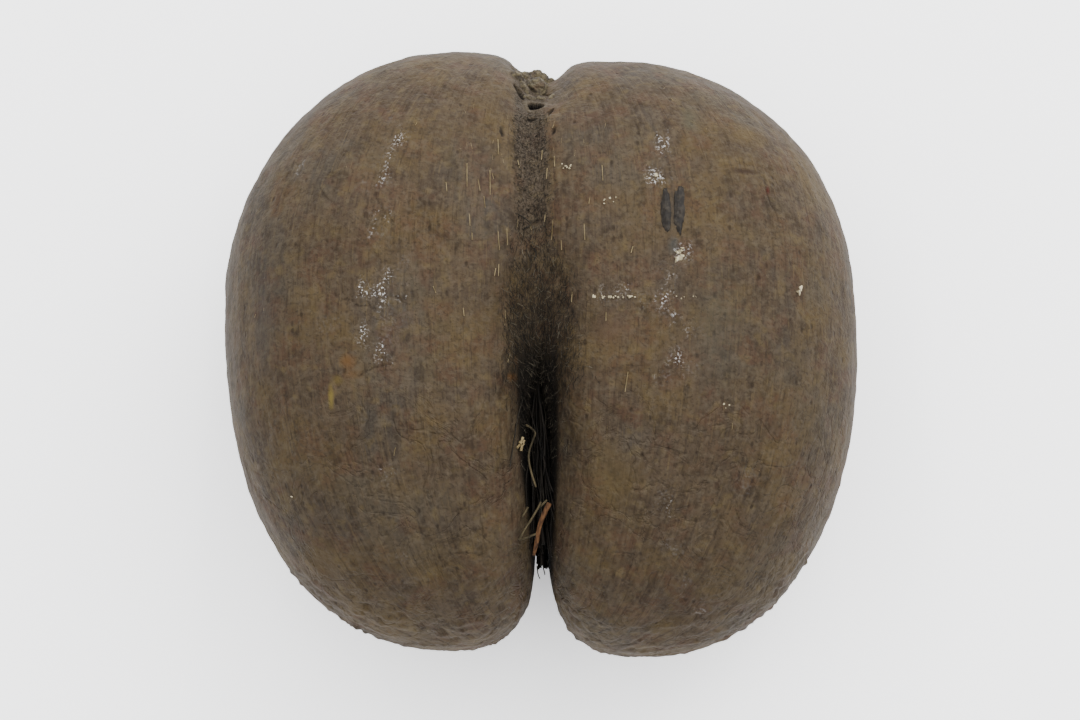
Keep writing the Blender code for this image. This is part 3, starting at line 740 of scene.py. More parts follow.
# %% The scattering tree
def scattering_tree():
    """Thin rods on the surface of a mesh, as dense as a named mask allows."""
    tree, given, result = new_tree(
        "hairs_on_shell",
        "GeometryNodeTree",
        (
            ("Geometry", "NodeSocketGeometry", None),
            ("Mask", "NodeSocketString", ""),
            ("Density", "NodeSocketFloat", 20000.0),
            ("Length", "NodeSocketFloat", 0.004),
            ("Radius", "NodeSocketFloat", 0.0001),
            ("Lift", "NodeSocketFloat", 0.4),
            ("Spread", "NodeSocketFloat", 0.3),
            ("Bend", "NodeSocketFloat", 0.2),
            ("Seed", "NodeSocketInt", 1),
            ("Material", "NodeSocketMaterial", None),
        ),
        (("Geometry", "NodeSocketGeometry"),),
    )
    mask = add(tree, "GeometryNodeInputNamedAttribute", {"Name": given["Mask"]}, data_type="FLOAT").outputs[0]
    density = maths(tree, "MULTIPLY", mask, given["Density"])
    spread = add(tree, "GeometryNodeDistributePointsOnFaces",
                 {"Mesh": given["Geometry"], "Density": density, "Seed": given["Seed"]})
    normal = spread.outputs["Normal"]
    fall = vectors(tree, "DOT_PRODUCT", normal, (0, -1, 0))
    along = vectors(tree, "NORMALIZE", vectors(tree, "SUBTRACT", (0, -1, 0), vectors(tree, "SCALE", normal, fall)))
    stray = add(tree, "FunctionNodeRandomValue",
                {"Min": (-1, -1, -1), "Max": (1, 1, 1), "Seed": given["Seed"]}, data_type="FLOAT_VECTOR").outputs[0]
    heading = vectors(tree, "ADD", along, vectors(tree, "SCALE", normal, given["Lift"]))
    heading = vectors(tree, "ADD", heading, vectors(tree, "SCALE", stray, given["Spread"]))
    turn = add(tree, "FunctionNodeAlignRotationToVector", {"Vector": heading}, axis="Z").outputs[0]
    size = add(tree, "FunctionNodeRandomValue", {2: 0.45, 3: 1.35, "Seed": given["Seed"]}, data_type="FLOAT").outputs[1]

    line = add(tree, "GeometryNodeCurvePrimitiveLine", {"Start": (0, 0, 0), "End": (0, 0, 1)}).outputs[0]
    line = add(tree, "GeometryNodeResampleCurve", {"Curve": line, "Count": 5}).outputs[0]
    share = add(tree, "GeometryNodeSplineParameter").outputs["Factor"]
    sag = maths(tree, "MULTIPLY", given["Bend"], maths(tree, "POWER", share, 2.0))
    bent = add(tree, "ShaderNodeCombineXYZ", {"X": sag, "Z": maths(tree, "SUBTRACT", share, 0.08)}).outputs[0]
    place = vectors(tree, "SCALE", bent, given["Length"])
    line = add(tree, "GeometryNodeSetPosition", {"Geometry": line, "Position": place}).outputs[0]
    taper = maths(tree, "SUBTRACT", 1.0, maths(tree, "MULTIPLY", share, 0.75))
    line = add(tree, "GeometryNodeSetCurveRadius", {"Curve": line, "Radius": taper}).outputs[0]
    profile = add(tree, "GeometryNodeCurvePrimitiveCircle", {"Resolution": 3, "Radius": given["Radius"]}).outputs[0]
    hair = add(tree, "GeometryNodeCurveToMesh", {"Curve": line, "Profile Curve": profile, "Fill Caps": True}).outputs[0]

    hairs = add(tree, "GeometryNodeInstanceOnPoints",
                {"Points": spread.outputs["Points"], "Instance": hair, "Rotation": turn, "Scale": size}).outputs[0]
    spin = add(tree, "FunctionNodeRandomValue", {2: 0.0, 3: math.tau, "Seed": given["Seed"]}, data_type="FLOAT")
    spin = add(tree, "ShaderNodeCombineXYZ", {"Z": spin.outputs[1]}).outputs[0]
    hairs = add(tree, "GeometryNodeRotateInstances", {"Instances": hairs, "Rotation": spin}).outputs[0]
    hairs = add(tree, "GeometryNodeRealizeInstances", {"Geometry": hairs}).outputs[0]
    hairs = add(tree, "GeometryNodeSetMaterial", {"Geometry": hairs, "Material": given["Material"]}).outputs[0]
    tree.links.new(hairs, result[0])
    return tree


hairs_on_shell = scattering_tree()
print("tree:", hairs_on_shell.name)

# %% [markdown]
# ## Strands in the cleft
# Between the lobes hangs a beard of dark husk strands, so dense that no light comes through the gap behind it. Each
# strand is a path from the head of the cleft towards the tips. The paths are worked out from the formula, which knows
# how much room there is at every height, and a second tree turns paths into tapered rods.

# %% The rod tree
def rod_tree():
    """Round tapered rods along the edges of a mesh."""
    tree, given, result = new_tree(
        "rods_on_paths",
        "GeometryNodeTree",
        (
            ("Geometry", "NodeSocketGeometry", None),
            ("Radius", "NodeSocketFloat", 0.0003),
            ("Sides", "NodeSocketInt", 4),
            ("Taper", "NodeSocketFloat", 0.6),
            ("Knobbly", "NodeSocketFloat", 0.3),
            ("Material", "NodeSocketMaterial", None),
        ),
        (("Geometry", "NodeSocketGeometry"),),
    )
    curve = add(tree, "GeometryNodeMeshToCurve", {"Mesh": given["Geometry"]}).outputs[0]
    share = add(tree, "GeometryNodeSplineParameter").outputs["Factor"]
    lumps = add(tree, "ShaderNodeTexNoise", {"Scale": 260.0, "Detail": 1.0}).outputs[0]
    lumps = maths(tree, "MULTIPLY", maths(tree, "SUBTRACT", lumps, 0.5), given["Knobbly"])
    radius = maths(tree, "SUBTRACT", 1.0, maths(tree, "MULTIPLY", maths(tree, "POWER", share, 2.0), given["Taper"]))
    curve = add(tree, "GeometryNodeSetCurveRadius", {"Curve": curve, "Radius": maths(tree, "ADD", radius, lumps)})
    profile = add(tree, "GeometryNodeCurvePrimitiveCircle", {"Resolution": given["Sides"], "Radius": given["Radius"]})
    rods = add(tree, "GeometryNodeCurveToMesh",
               {"Curve": curve.outputs[0], "Profile Curve": profile.outputs[0], "Fill Caps": True}).outputs[0]
    rods = add(tree, "GeometryNodeRealizeInstances", {"Geometry": rods}).outputs[0]
    rods = add(tree, "GeometryNodeSetMaterial", {"Geometry": rods, "Material": given["Material"]}).outputs[0]
    tree.links.new(rods, result[0])
    return tree


rods_on_paths = rod_tree()
print("tree:", rods_on_paths.name)


# %% Room in the cleft
def middle_x(level):
    """Where the line between the lobes is at a level, in the frame."""
    return MIDDLE[0] + MIDDLE_SHIFT + MIDDLE_TILT * (level - MIDDLE[1])


WIDEST_ROOM, ROOM_STEP = 0.016, 0.0002


def room_at(levels, heights):
    """Half the gap between the lobes at each level and height, and 0 where they have grown together."""
    room = np.zeros(len(levels))
    open_yet = np.ones(len(levels), bool)
    for out in np.arange(0.0, WIDEST_ROOM, ROOM_STEP):
        probe = np.column_stack([middle_x(levels) + out, levels, heights])
        open_yet &= shell_distance(probe) > 0
        room[open_yet] = out
    return room


MOUTH_LEVEL, CLIMB_STEP, CLIMB_STEPS = -0.100, 0.0005, 260


def head_of_cleft(heights):
    """The level at which the lobes part, at each height, found by climbing the cleft from its mouth."""
    level = np.full(len(heights), MOUTH_LEVEL)
    for _ in range(CLIMB_STEPS):
        probe = np.column_stack([middle_x(level), level, heights])
        level = np.where(shell_distance(probe) > 0, level + CLIMB_STEP, level)
    return level


# %% Paths of the beard
LOWEST_LEVEL, LOWEST_SLOPE = -0.094, 0.083  # the beard ends where the photograph shows the table through the gap


def strand_paths(count, heights, lengths, rise, draw, steps=14):
    """Paths from the head of the cleft towards the tips, each within the room between the lobes."""
    start_height = draw.uniform(*heights, count)
    head = head_of_cleft(start_height)
    lowest = LOWEST_LEVEL - LOWEST_SLOPE * start_height
    length = np.minimum(draw.uniform(*lengths, count), head - lowest - draw.uniform(-0.002, 0.012, count))
    climb = draw.uniform(*rise, count)
    lean, sway, beat = draw.uniform(-0.95, 0.95, count), draw.uniform(-0.5, 0.5, count), draw.uniform(2, 6, count)
    rows = []
    for share in np.linspace(0, 1, steps):
        level = head + 0.002 - length * share
        height = start_height + climb * share + 0.0015 * np.sin(beat * 2 * share + lean * 9)
        height = np.clip(height, 0.006, None)
        off = np.clip(lean * (0.5 + 0.5 * share) + sway * np.sin(beat * share), -0.97, 0.97)
        room = np.maximum(room_at(level, height) - 0.0006, 0.0)
        rows.append(np.column_stack([middle_x(level) + off * room, level, height]))
    return np.stack(rows, axis=1)


def path_object(name, paths):
    """One mesh of edges from several paths."""
    points, edges = [], []
    for path in paths:
        first = len(points)
        points += [tuple(point) for point in path]
        edges += [(first + n, first + n + 1) for n in range(len(path) - 1)]
    mesh = bpy.data.meshes.new(name)
    mesh.from_pydata(points, edges, [])
    piece = bpy.data.objects.new(name, mesh)
    bpy.context.scene.collection.objects.link(piece)
    return piece


draw = np.random.default_rng(23)
deep_paths = strand_paths(330, (0.020, 0.118), (0.030, 0.078), (-0.012, 0.012), draw)
front_paths = strand_paths(260, (0.100, 0.140), (0.020, 0.072), (-0.020, 0.006), draw)
grey_paths = strand_paths(16, (0.118, 0.138), (0.030, 0.060), (-0.014, 0.002), draw)
print("beard:", len(deep_paths), "deep,", len(front_paths), "front and", len(grey_paths), "grey strands")


# %% Loose bits that the photograph shows in the cleft
def at_height(pixels, heights):
    """Where the camera's sight lines through some pixels pass given heights."""
    lines = sight_lines(pixels)
    eye = np.array(camera.location)
    return eye + lines * ((np.asarray(heights) - eye[2]) / lines[:, 2])[:, None]


def smooth_path(knots, count):
    """Evenly spread points of a smooth curve through knots."""
    knots = np.asarray(knots)
    ends = np.concatenate([[2 * knots[0] - knots[1]], knots, [2 * knots[-1] - knots[-2]]])
    rows = []
    for place in np.linspace(0, len(knots) - 1, count):
        k = min(int(place), len(knots) - 2)
        t = place - k
        a, b, c, d = ends[k : k + 4]
        rows.append((2 * b + (c - a) * t + (2 * a - 5 * b + 4 * c - d) * t**2 + (3 * b - a - 3 * c + d) * t**3) / 2)
    return np.array(rows)


# Each bit is a line of pixels and the lowest height that it hangs at
OLIVE_BITS = (
    (((526, 425), (531, 428), (535, 433), (533, 440), (529, 452), (529, 462), (532, 475), (536, 487)), 0.142),
    (((541, 502), (538, 508), (531, 520), (524, 531), (519, 540)), 0.139),
    (((536, 534), (528, 537), (519, 540)), 0.137),
    (((528, 507), (526, 511), (522, 517)), 0.140),
    (((547, 500), (543, 504), (538, 509)), 0.137),
)
DARK_BITS = (
    (((523, 398), (518, 417), (514, 440), (510, 467)), 0.140),
    (((541, 556), (543, 566), (545, 575)), 0.112),
    (((547, 560), (549, 568), (552, 574)), 0.100),
    (((537, 566), (538, 574), (540, 579)), 0.116),
    (((518, 214), (526, 219), (531, 224), (524, 229)), 0.100),
    (((534, 248), (536, 254), (534, 260)), 0.100),
)
PALE_BITS = (
    (((523, 437), (521, 443), (517, 448)), 0.146),
    (((524, 440), (522, 446), (521, 451)), 0.147),
    (((519, 442), (524, 445)), 0.147),
)


def caught(pixels, lowest):
    """A bit that lies on the shell, or hangs in the cleft at the lowest height where there is no shell above it."""
    heights = np.maximum(seen_on_shell(pixels)[:, 2] + 0.0004, lowest)
    return smooth_path(at_height(pixels, heights), max(5 * len(pixels), 12))


olive_paths, pale_paths, dark_paths = ([caught(*bit) for bit in bits] for bits in (OLIVE_BITS, PALE_BITS, DARK_BITS))
print("loose bits:", len(olive_paths), "olive,", len(pale_paths), "pale and", len(dark_paths), "dark")


# %% Straw slivers along the furrow, as x, upper y and lower y of pixels and a lean
SLIVERS = (
    (498, 139, 155, 0.3), (467, 163, 187, 0), (490, 170, 195, 0), (478, 179, 191, 2), (469, 208, 226, 1),
    (498, 229, 250, 1), (507, 227, 245, 0), (499, 264, 276, -1), (547, 168, 179, 0), (554, 156, 167, 1),
    (542, 150, 160, 0), (602, 165, 181, 1), (553, 217, 240, -1), (545, 214, 222, 0), (633, 246, 253, -2),
    (572, 292, 302, 0), (606, 312, 321, 0), (463, 304, 316, 1), (510, 354, 363, -3), (433, 286, 293, 3),
    (584, 222, 240, 1), (496, 268, 276, -2), (530, 222, 230, 1), (484, 196, 208, 1), (446, 182, 192, 1),
    (628, 372, 392, -3), (561, 240, 250, 1), (472, 232, 240, 0), (518, 160, 168, 1), (590, 196, 204, -1),
)


def laid_on_shell(x, top, low, lean, lift=0.0003):
    """A short path that lies on the shell, a little proud of it at its lower end."""
    pixels = [(x + lean * share, top + (low - top) * share) for share in np.linspace(0, 1, 6)]
    path = seen_on_shell(pixels)
    path = path + outward(path)[0] * (lift * np.linspace(-0.6, 1.4, 6))[:, None]
    return np.minimum(path, np.array(cad_box[1]) - 0.0003)


sliver_paths = [laid_on_shell(*row) for row in SLIVERS]
print("slivers:", len(sliver_paths))

# %% [markdown]
# ## The strip of husk
# One flat strip of orange-brown husk is wedged near the mouth of the cleft. It is split wood, so it has a rough flat
# section and a torn end. A round rod would look like wire, so it is lofted from sections.

# %% The strip
STRIP_PATH = (
    (0.0041, -0.0780, 0.0650),
    (0.0023, -0.0817, 0.0645),
    (0.0002, -0.0866, 0.0632),
    (-0.0011, -0.0931, 0.0612),
    (-0.0024, -0.0990, 0.0575),
)
STRIP_WIDTH, STRIP_THICKNESS = 0.0021, 0.0009
STRIP_SECTIONS, STRIP_CORNERS = 40, 14


def lofted(rings):
    """Points and faces of a closed rod through rings of points."""
    sides = len(rings[0])
    points = [tuple(point) for ring in rings for point in ring]
    faces = []
    for n in range(len(rings) - 1):
        for k in range(sides):
            low, high = n * sides, (n + 1) * sides
            faces.append((low + k, low + (k + 1) % sides, high + (k + 1) % sides, high + k))
    faces.append(tuple(range(sides))[::-1])
    faces.append(tuple(range(len(points) - sides, len(points))))
    return points, faces


def strip_rings():
    """Sections of the strip: flat ovals with splits along their upper face."""
    line = smooth_path(np.array(STRIP_PATH) + MIDDLE, STRIP_SECTIONS)
    rings = []
    for n, point in enumerate(line):
        heading = line[min(n + 1, len(line) - 1)] - line[max(n - 1, 0)]
        flat = np.cross(heading / np.linalg.norm(heading), (0.25, 0, 1))
        flat /= np.linalg.norm(flat)
        face = np.cross(flat, heading / np.linalg.norm(heading))
        share = n / (len(line) - 1)
        wide = STRIP_WIDTH / 2 * (1 - 0.35 * share**3) * (1 + 0.10 * noise.noise((share * 7, 0, 0)))
        ring = []
        for k in range(STRIP_CORNERS):
            turn = math.tau * k / STRIP_CORNERS
            a, b = math.cos(turn), math.sin(turn)
            split = 1 + 0.22 * noise.noise((share * 3, a * 4, b * 4))
            ring.append(point + flat * wide * a * split + face * STRIP_THICKNESS / 2 * b * split)
        rings.append(ring)
    return rings


strip = new_piece("husk_strip_wood", *lofted(strip_rings()))
print("strip:", len(strip.data.polygons), "faces")

# %% [markdown]
# ## Drops of resin
# Two long black drops of dried sap sit side by side on the right lobe. They stand proud and shine, so they are lenses
# of their own, laid on the shell: an oval of pixels is carried to the surface and raised towards its middle.

# %% Resin drops
DROPS = (
    ((666, 210), (5.6, 23), 0.03),
    ((679.5, 209), (6.0, 25), -0.03),
)
DROP_RINGS, DROP_SPOKES, DROP_HEIGHT, DROP_SUNK = 16, 64, 0.0005, 0.0012


def drop_mesh(centre, halves, lean, number):
    """Points and faces of a lens on the shell over an oval of pixels."""
    pixels, shares = [centre], [0.0]
    for ring in range(1, DROP_RINGS + 1):
        share = ring / DROP_RINGS
        for k in range(DROP_SPOKES):
            turn = math.tau * k / DROP_SPOKES
            wobble = 1 + 0.22 * noise.noise((2 * math.cos(turn), 3 * math.sin(turn), number * 5))
            wobble += 0.10 * noise.noise((8 * math.cos(turn), 12 * math.sin(turn), number * 5))
            x, y = math.cos(turn) * halves[0] * share * wobble, math.sin(turn) * halves[1] * share * wobble
            pixels.append((centre[0] + x + lean * y, centre[1] + y))
            shares.append(share)
    base = seen_on_shell(pixels)
    normal = outward(base)[0]
    shares = np.array(shares)
    bumps = 0.5 * noise_at(base / 0.0030, number) + 0.4 * noise_at(base / 0.0012, number)
    top = base + normal * (DROP_HEIGHT * (1 - shares**2) * (1 + bumps) - DROP_SUNK * (shares > 0.99) - 0.0001)[:, None]
    points = np.concatenate([top, [base[0] - normal[0] * DROP_SUNK]])
    faces = [(0, 1 + k, 1 + (k + 1) % DROP_SPOKES) for k in range(DROP_SPOKES)]
    for ring in range(DROP_RINGS - 1):
        low, high = 1 + ring * DROP_SPOKES, 1 + (ring + 1) * DROP_SPOKES
        for k in range(DROP_SPOKES):
            after = (k + 1) % DROP_SPOKES
            faces.append((low + k, high + k, high + after, low + after))
    rim = 1 + (DROP_RINGS - 1) * DROP_SPOKES
    faces += [(rim + (k + 1) % DROP_SPOKES, rim + k, len(points) - 1) for k in range(DROP_SPOKES)]
    return points.tolist(), faces


drop_points, drop_faces = [], []
for number, (centre, halves, lean) in enumerate(DROPS):
    made_points, made_faces = drop_mesh(centre, halves, lean, number)
    drop_faces += [tuple(corner + len(drop_points) for corner in face) for face in made_faces]
    drop_points += made_points
resin = new_piece("resin_drops", drop_points, drop_faces)
resin_mesh = bmesh.new()
resin_mesh.from_mesh(resin.data)
bmesh.ops.recalc_face_normals(resin_mesh, faces=resin_mesh.faces)
resin_mesh.to_mesh(resin.data)
resin_mesh.free()
resin.data.shade_smooth()
print("resin:", len(resin.data.polygons), "faces")

# %% [markdown]
# ## Effects that several finishes share
# The shell, the cork and the husk are all plant fibre, so their colour changes along the grain and in fine specks. A
# group of nodes holds each effect once. The grain group gives the coordinates that run with the fibres, and the tone
# group mixes two tones by a noise, read in those coordinates for streaks and in plain ones for patches and specks.

# %% Helpers for finishes
def colour(red, green, blue):
    """A colour with its alpha."""
    return (red, green, blue, 1.0)


def new_finish(name):
    """A material, its tree, its Principled shader and the Object coordinates."""
    finish = bpy.data.materials.new(name)
    finish.use_nodes = True
    tree = finish.node_tree
    here = add(tree, "ShaderNodeTexCoord").outputs["Object"]
    return finish, tree, tree.nodes["Principled BSDF"], here


def settle(shader, **values):
    """Sets plain values of a Principled shader. An underscore stands for a space."""
    for name, value in values.items():
        shader.inputs[name.replace("_", " ")].default_value = value


def times(tree, first, second):
    """The product of two values."""
    return maths(tree, "MULTIPLY", first, second)


def between(tree, value, low, high):
    """A share that is 0 at low and 1 at high, whichever of them is the larger."""
    return add(tree, "ShaderNodeMapRange", {"Value": value, "From Min": low, "From Max": high}).outputs[0]


def noise_in(tree, here, scale, detail, distortion=0.0):
    """A noise between 0 and 1, read in these coordinates."""
    inputs = {"Vector": here, "Scale": scale, "Detail": detail, "Distortion": distortion}
    return add(tree, "ShaderNodeTexNoise", inputs).outputs[0]


def mix(tree, share, first, second):
    """A colour between two others."""
    return add(tree, "ShaderNodeMix", {0: share, 6: first, 7: second}, data_type="RGBA").outputs[2]


def mask_named(tree, name):
    """A mask stored on the mesh."""
    return add(tree, "ShaderNodeAttribute", attribute_name=name).outputs["Fac"]


def put_bump(tree, shader, height, strength, distance):
    """Bends the normals of a finish by a height."""
    bump = add(tree, "ShaderNodeBump", {"Height": height, "Strength": strength, "Distance": distance})
    tree.links.new(bump.outputs[0], shader.inputs["Normal"])


# %% Shader groups
def grain_group():
    """Coordinates that are stretched along the grain of the shell."""
    tree, given, result = new_tree(
        "grain_space", "ShaderNodeTree",
        (("Around", "NodeSocketFloat", 30.0), ("Along", "NodeSocketFloat", 20.0)),
        (("Vector", "NodeSocketVector"),),
    )
    here = add(tree, "ShaderNodeTexCoord").outputs["Object"]
    centre = (MIDDLE[0] + MIDDLE_SHIFT, 0.0, MIDDLE[2] - GRAIN_AXIS)
    here = vectors(tree, "SUBTRACT", here, centre)
    spin = vectors(tree, "NORMALIZE", vectors(tree, "MULTIPLY", here, (1, 0, 1)))
    spin = vectors(tree, "SCALE", spin, given["Around"])
    length = vectors(tree, "SCALE", vectors(tree, "MULTIPLY", here, (0, 1, 0)), given["Along"])
    tree.links.new(vectors(tree, "ADD", spin, length), result[0])
    return tree


def tone_group():
    """Mixes two colours by a noise: Low and High are the noise values at which the change starts and ends."""
    tree, given, result = new_tree(
        "tone_change", "ShaderNodeTree",
        (
            ("Vector", "NodeSocketVector", None),
            ("Scale", "NodeSocketFloat", 1.0),
            ("Detail", "NodeSocketFloat", 3.0),
            ("Low", "NodeSocketFloat", 0.45),
            ("High", "NodeSocketFloat", 0.65),
            ("Amount", "NodeSocketFloat", 1.0),
            ("First", "NodeSocketColor", (0.1, 0.1, 0.1, 1)),
            ("Second", "NodeSocketColor", (0.2, 0.2, 0.2, 1)),
        ),
        (("Color", "NodeSocketColor"), ("Mask", "NodeSocketFloat")),
    )
    value = noise_in(tree, given["Vector"], given["Scale"], given["Detail"])
    mask = times(tree, between(tree, value, given["Low"], given["High"]), given["Amount"])
    tree.links.new(mix(tree, mask, given["First"], given["Second"]), result[0])
    tree.links.new(mask, result[1])
    return tree


grain_space, tone_change = grain_group(), tone_group()


def in_grain(tree, around, along):
    """Coordinates along the grain, with this many cells a turn and a metre."""
    return add(tree, "ShaderNodeGroup", {"Around": around, "Along": along}, node_tree=grain_space).outputs["Vector"]


def tones(tree, here, scale, detail, low, high, first, second, amount=1.0):
    """Two tones that change by a noise, and the mask of the second."""
    inputs = {"Vector": here, "Scale": scale, "Detail": detail, "Low": low, "High": high, "Amount": amount,
              "First": first, "Second": second}
    outputs = add(tree, "ShaderNodeGroup", inputs, node_tree=tone_change).outputs
    return outputs["Color"], outputs["Mask"]


print("groups:", grain_space.name, tone_change.name)

# %% [markdown]
# ## The finish of the shell
# Old polished husk-wood is a mid brown with no single tone: ochre and greyish purple patches, fine streaks along the
# grain, dark pits and pale dust. The mix is built from broad to fine, and the places that the mesh knows by a mask come
# last: the grey furrow, the cleft's dark lining with painted shade, the cracks with painted shade along creases and
# folds, and the pore with painted shade inside and a painted highlight on its lip. A few worn places catch the light in
# tiny specks, so a clear coat lies there, only on the peaks of a very fine noise.

# %% Stains seen in the photograph, by pixel, size in metres and colour
STAINS = (
    ((347, 361), (0.0042, 0.0040, 0.0060), colour(0.105, 0.050, 0.016), 0.65),
    ((352, 374), (0.0050, 0.0024, 0.0060), colour(0.085, 0.044, 0.015), 0.45),
    ((331, 396), (0.0016, 0.0060, 0.0060), colour(0.150, 0.112, 0.026), 0.75),
    ((337, 380), (0.0030, 0.0030, 0.0060), colour(0.105, 0.075, 0.022), 0.60),
    ((513, 377), (0.0032, 0.0022, 0.0060), colour(0.120, 0.052, 0.014), 0.80),
    ((517, 363), (0.0018, 0.0030, 0.0060), colour(0.110, 0.050, 0.016), 0.60),
    ((745, 171), (0.0080, 0.0018, 0.0080), colour(0.022, 0.011, 0.008), 0.75),
    ((768, 190), (0.0012, 0.0024, 0.0060), colour(0.055, 0.012, 0.008), 0.80),
    ((674, 245), (0.0030, 0.0055, 0.0060), colour(0.034, 0.036, 0.034), 0.65),
    ((672, 210), (0.0062, 0.0125, 0.0080), colour(0.030, 0.026, 0.022), 0.55),
    ((720, 330), (0.0130, 0.0300, 0.0300), colour(0.050, 0.048, 0.036), 0.35),
    ((745, 135), (0.0120, 0.0080, 0.0300), colour(0.098, 0.066, 0.024), 0.45),
    ((690, 120), (0.0050, 0.0110, 0.0300), colour(0.060, 0.058, 0.036), 0.40),
    ((265, 320), (0.0060, 0.0250, 0.0300), colour(0.046, 0.042, 0.036), 0.40),
    ((320, 560), (0.0140, 0.0120, 0.0300), colour(0.078, 0.052, 0.020), 0.45),
    ((610, 480), (0.0140, 0.0160, 0.0300), colour(0.074, 0.052, 0.020), 0.40),
    ((612, 330), (0.0110, 0.0100, 0.0300), colour(0.062, 0.034, 0.020), 0.40),
)

# %% Tones of the wood: coordinates, scale and detail of the noise, where it starts and ends, amount and colour
BASE_TONE = colour(0.053, 0.0370, 0.0230)
TONES = (
    ("bands", 1.0, 5.0, 0.42, 0.62, 0.65, colour(0.0370, 0.0255, 0.0160)),
    ("plain", 36.0, 6.0, 0.46, 0.60, 0.65, colour(0.0760, 0.0510, 0.0195)),
    ("plain", 24.0, 5.0, 0.50, 0.64, 0.60, colour(0.0430, 0.0380, 0.0310)),
    ("plain", 80.0, 6.0, 0.50, 0.62, 0.60, colour(0.0600, 0.0310, 0.0175)),
    ("plain", 130.0, 6.0, 0.53, 0.66, 0.60, colour(0.0240, 0.0160, 0.0095)),
    ("plain", 190.0, 5.0, 0.55, 0.68, 0.55, colour(0.1000, 0.0720, 0.0320)),
    ("grain", 1.0, 4.0, 0.45, 0.64, 0.40, colour(0.0820, 0.0580, 0.0330)),
    ("grain", 1.9, 3.0, 0.55, 0.70, 0.50, colour(0.0210, 0.0135, 0.0080)),
    ("lines", 1.0, 2.0, 0.60, 0.74, 0.34, colour(0.1150, 0.0820, 0.0370)),
    ("lines", 0.6, 2.0, 0.60, 0.76, 0.34, colour(0.0180, 0.0120, 0.0075)),
    ("plain", 400.0, 4.0, 0.46, 0.68, 0.45, colour(0.0880, 0.0690, 0.0460)),
    ("plain", 760.0, 3.0, 0.50, 0.70, 0.50, colour(0.0220, 0.0150, 0.0095)),
)


def mottled(tree, here):
    """The shell's wood before stains: tones laid over each other, and the masks of the last four."""
    spaces = {
        "plain": here,
        "bands": in_grain(tree, 5.0, 30.0),
        "grain": in_grain(tree, 55.0, 50.0),
        "lines": in_grain(tree, 170.0, 70.0),
    }
    tone, masks = BASE_TONE, []
    for space, scale, detail, low, high, amount, second in TONES:
        tone, mask = tones(tree, spaces[space], scale, detail, low, high, tone, second, amount)
        masks.append(mask)
    return tone, masks[-4:]


# %% Dots, stains and masks over the tones
DOT_CELLS, DOT_EDGE, DOT_MIDDLE, DOTS_FROM = 260.0, 0.26, 0.10, 0.74
STAIN_BLUR, STAIN_EDGE, STAIN_FULL = 0.9, 1.5, 0.7


def dark_dots(tree, here):
    """Small round pits in about a quarter of the cells of a Voronoi texture."""
    inputs = {"Vector": vectors(tree, "MULTIPLY", here, (1, 0.6, 1)), "Scale": DOT_CELLS}
    cells = add(tree, "ShaderNodeTexVoronoi", inputs).outputs
    chance = vectors(tree, "DOT_PRODUCT", cells["Color"], (1, 0, 0))
    return times(tree, between(tree, cells["Distance"], DOT_EDGE, DOT_MIDDLE),
                 maths(tree, "GREATER_THAN", chance, DOTS_FROM))


def stained(tree, here, tone):
    """The stains of the photograph over a tone, each with a ragged edge."""
    blur = times(tree, noise_in(tree, here, 320.0, 3.0), STAIN_BLUR)
    for pixel, size, stain, strength in STAINS:
        away = vectors(tree, "SUBTRACT", here, tuple(seen_on_shell([pixel])[0]))
        edge = maths(tree, "ADD", vectors(tree, "LENGTH", vectors(tree, "DIVIDE", away, size)), blur)
        tone = mix(tree, times(tree, between(tree, edge, STAIN_EDGE, STAIN_FULL), strength), tone, stain)
    return tone


def covered(tree, tone, grit):
    """The furrow, the fan, the cleft with its painted shade, the cracks with painted shade along creases and folds, the
    pore's lip with its painted highlight and the painted shade of holes over a tone, each where its mask is.
    """
    fan, _ = tones(tree, in_grain(tree, 60.0, 48.0), 5.0, 3.0, 0.38, 0.66,
                   colour(0.010, 0.008, 0.006), colour(0.055, 0.040, 0.024))
    covers = (
        (times(tree, mask_named(tree, "furrow"), 0.60), grit),
        (times(tree, mask_named(tree, "fan"), 0.42), fan),
        # The cleft's dark lining, with painted shade over it
        (between(tree, mask_named(tree, "cleft"), 0.25, 1.0), colour(0.006, 0.005, 0.004)),
        # Dark cracks, with painted shade along the creases and folds
        (times(tree, mask_named(tree, "crack"), 0.65), colour(0.011, 0.006, 0.003)),
        # A painted highlight on the pore's lip
        (times(tree, mask_named(tree, "lip"), 0.55), colour(0.095, 0.076, 0.050)),
        # Painted shade in the pore, the pit and the hollows
        (mask_named(tree, "hole"), colour(0.003, 0.002, 0.002)),
    )
    for share, cover in covers:
        tone = mix(tree, share, tone, cover)
    return tone


# %% The finish itself
FLECKS, FLECKS_FROM, FLECKS_FULL = 1000.0, 0.56, 0.62
FOLD_NOISE, FOLD_DETAIL, FOLD_TWIST, FOLD_HALF = 46.0, 4.0, 1.2, 0.034


def soft_folds(tree, here):
    """Lines where a twisted noise is near its middle, on the folded half of the nut."""
    bent = noise_in(tree, here, FOLD_NOISE, FOLD_DETAIL, FOLD_TWIST)
    away = maths(tree, "ABSOLUTE", maths(tree, "SUBTRACT", bent, 0.5))
    return times(tree, between(tree, away, FOLD_HALF, 0.0), mask_named(tree, "folds"))


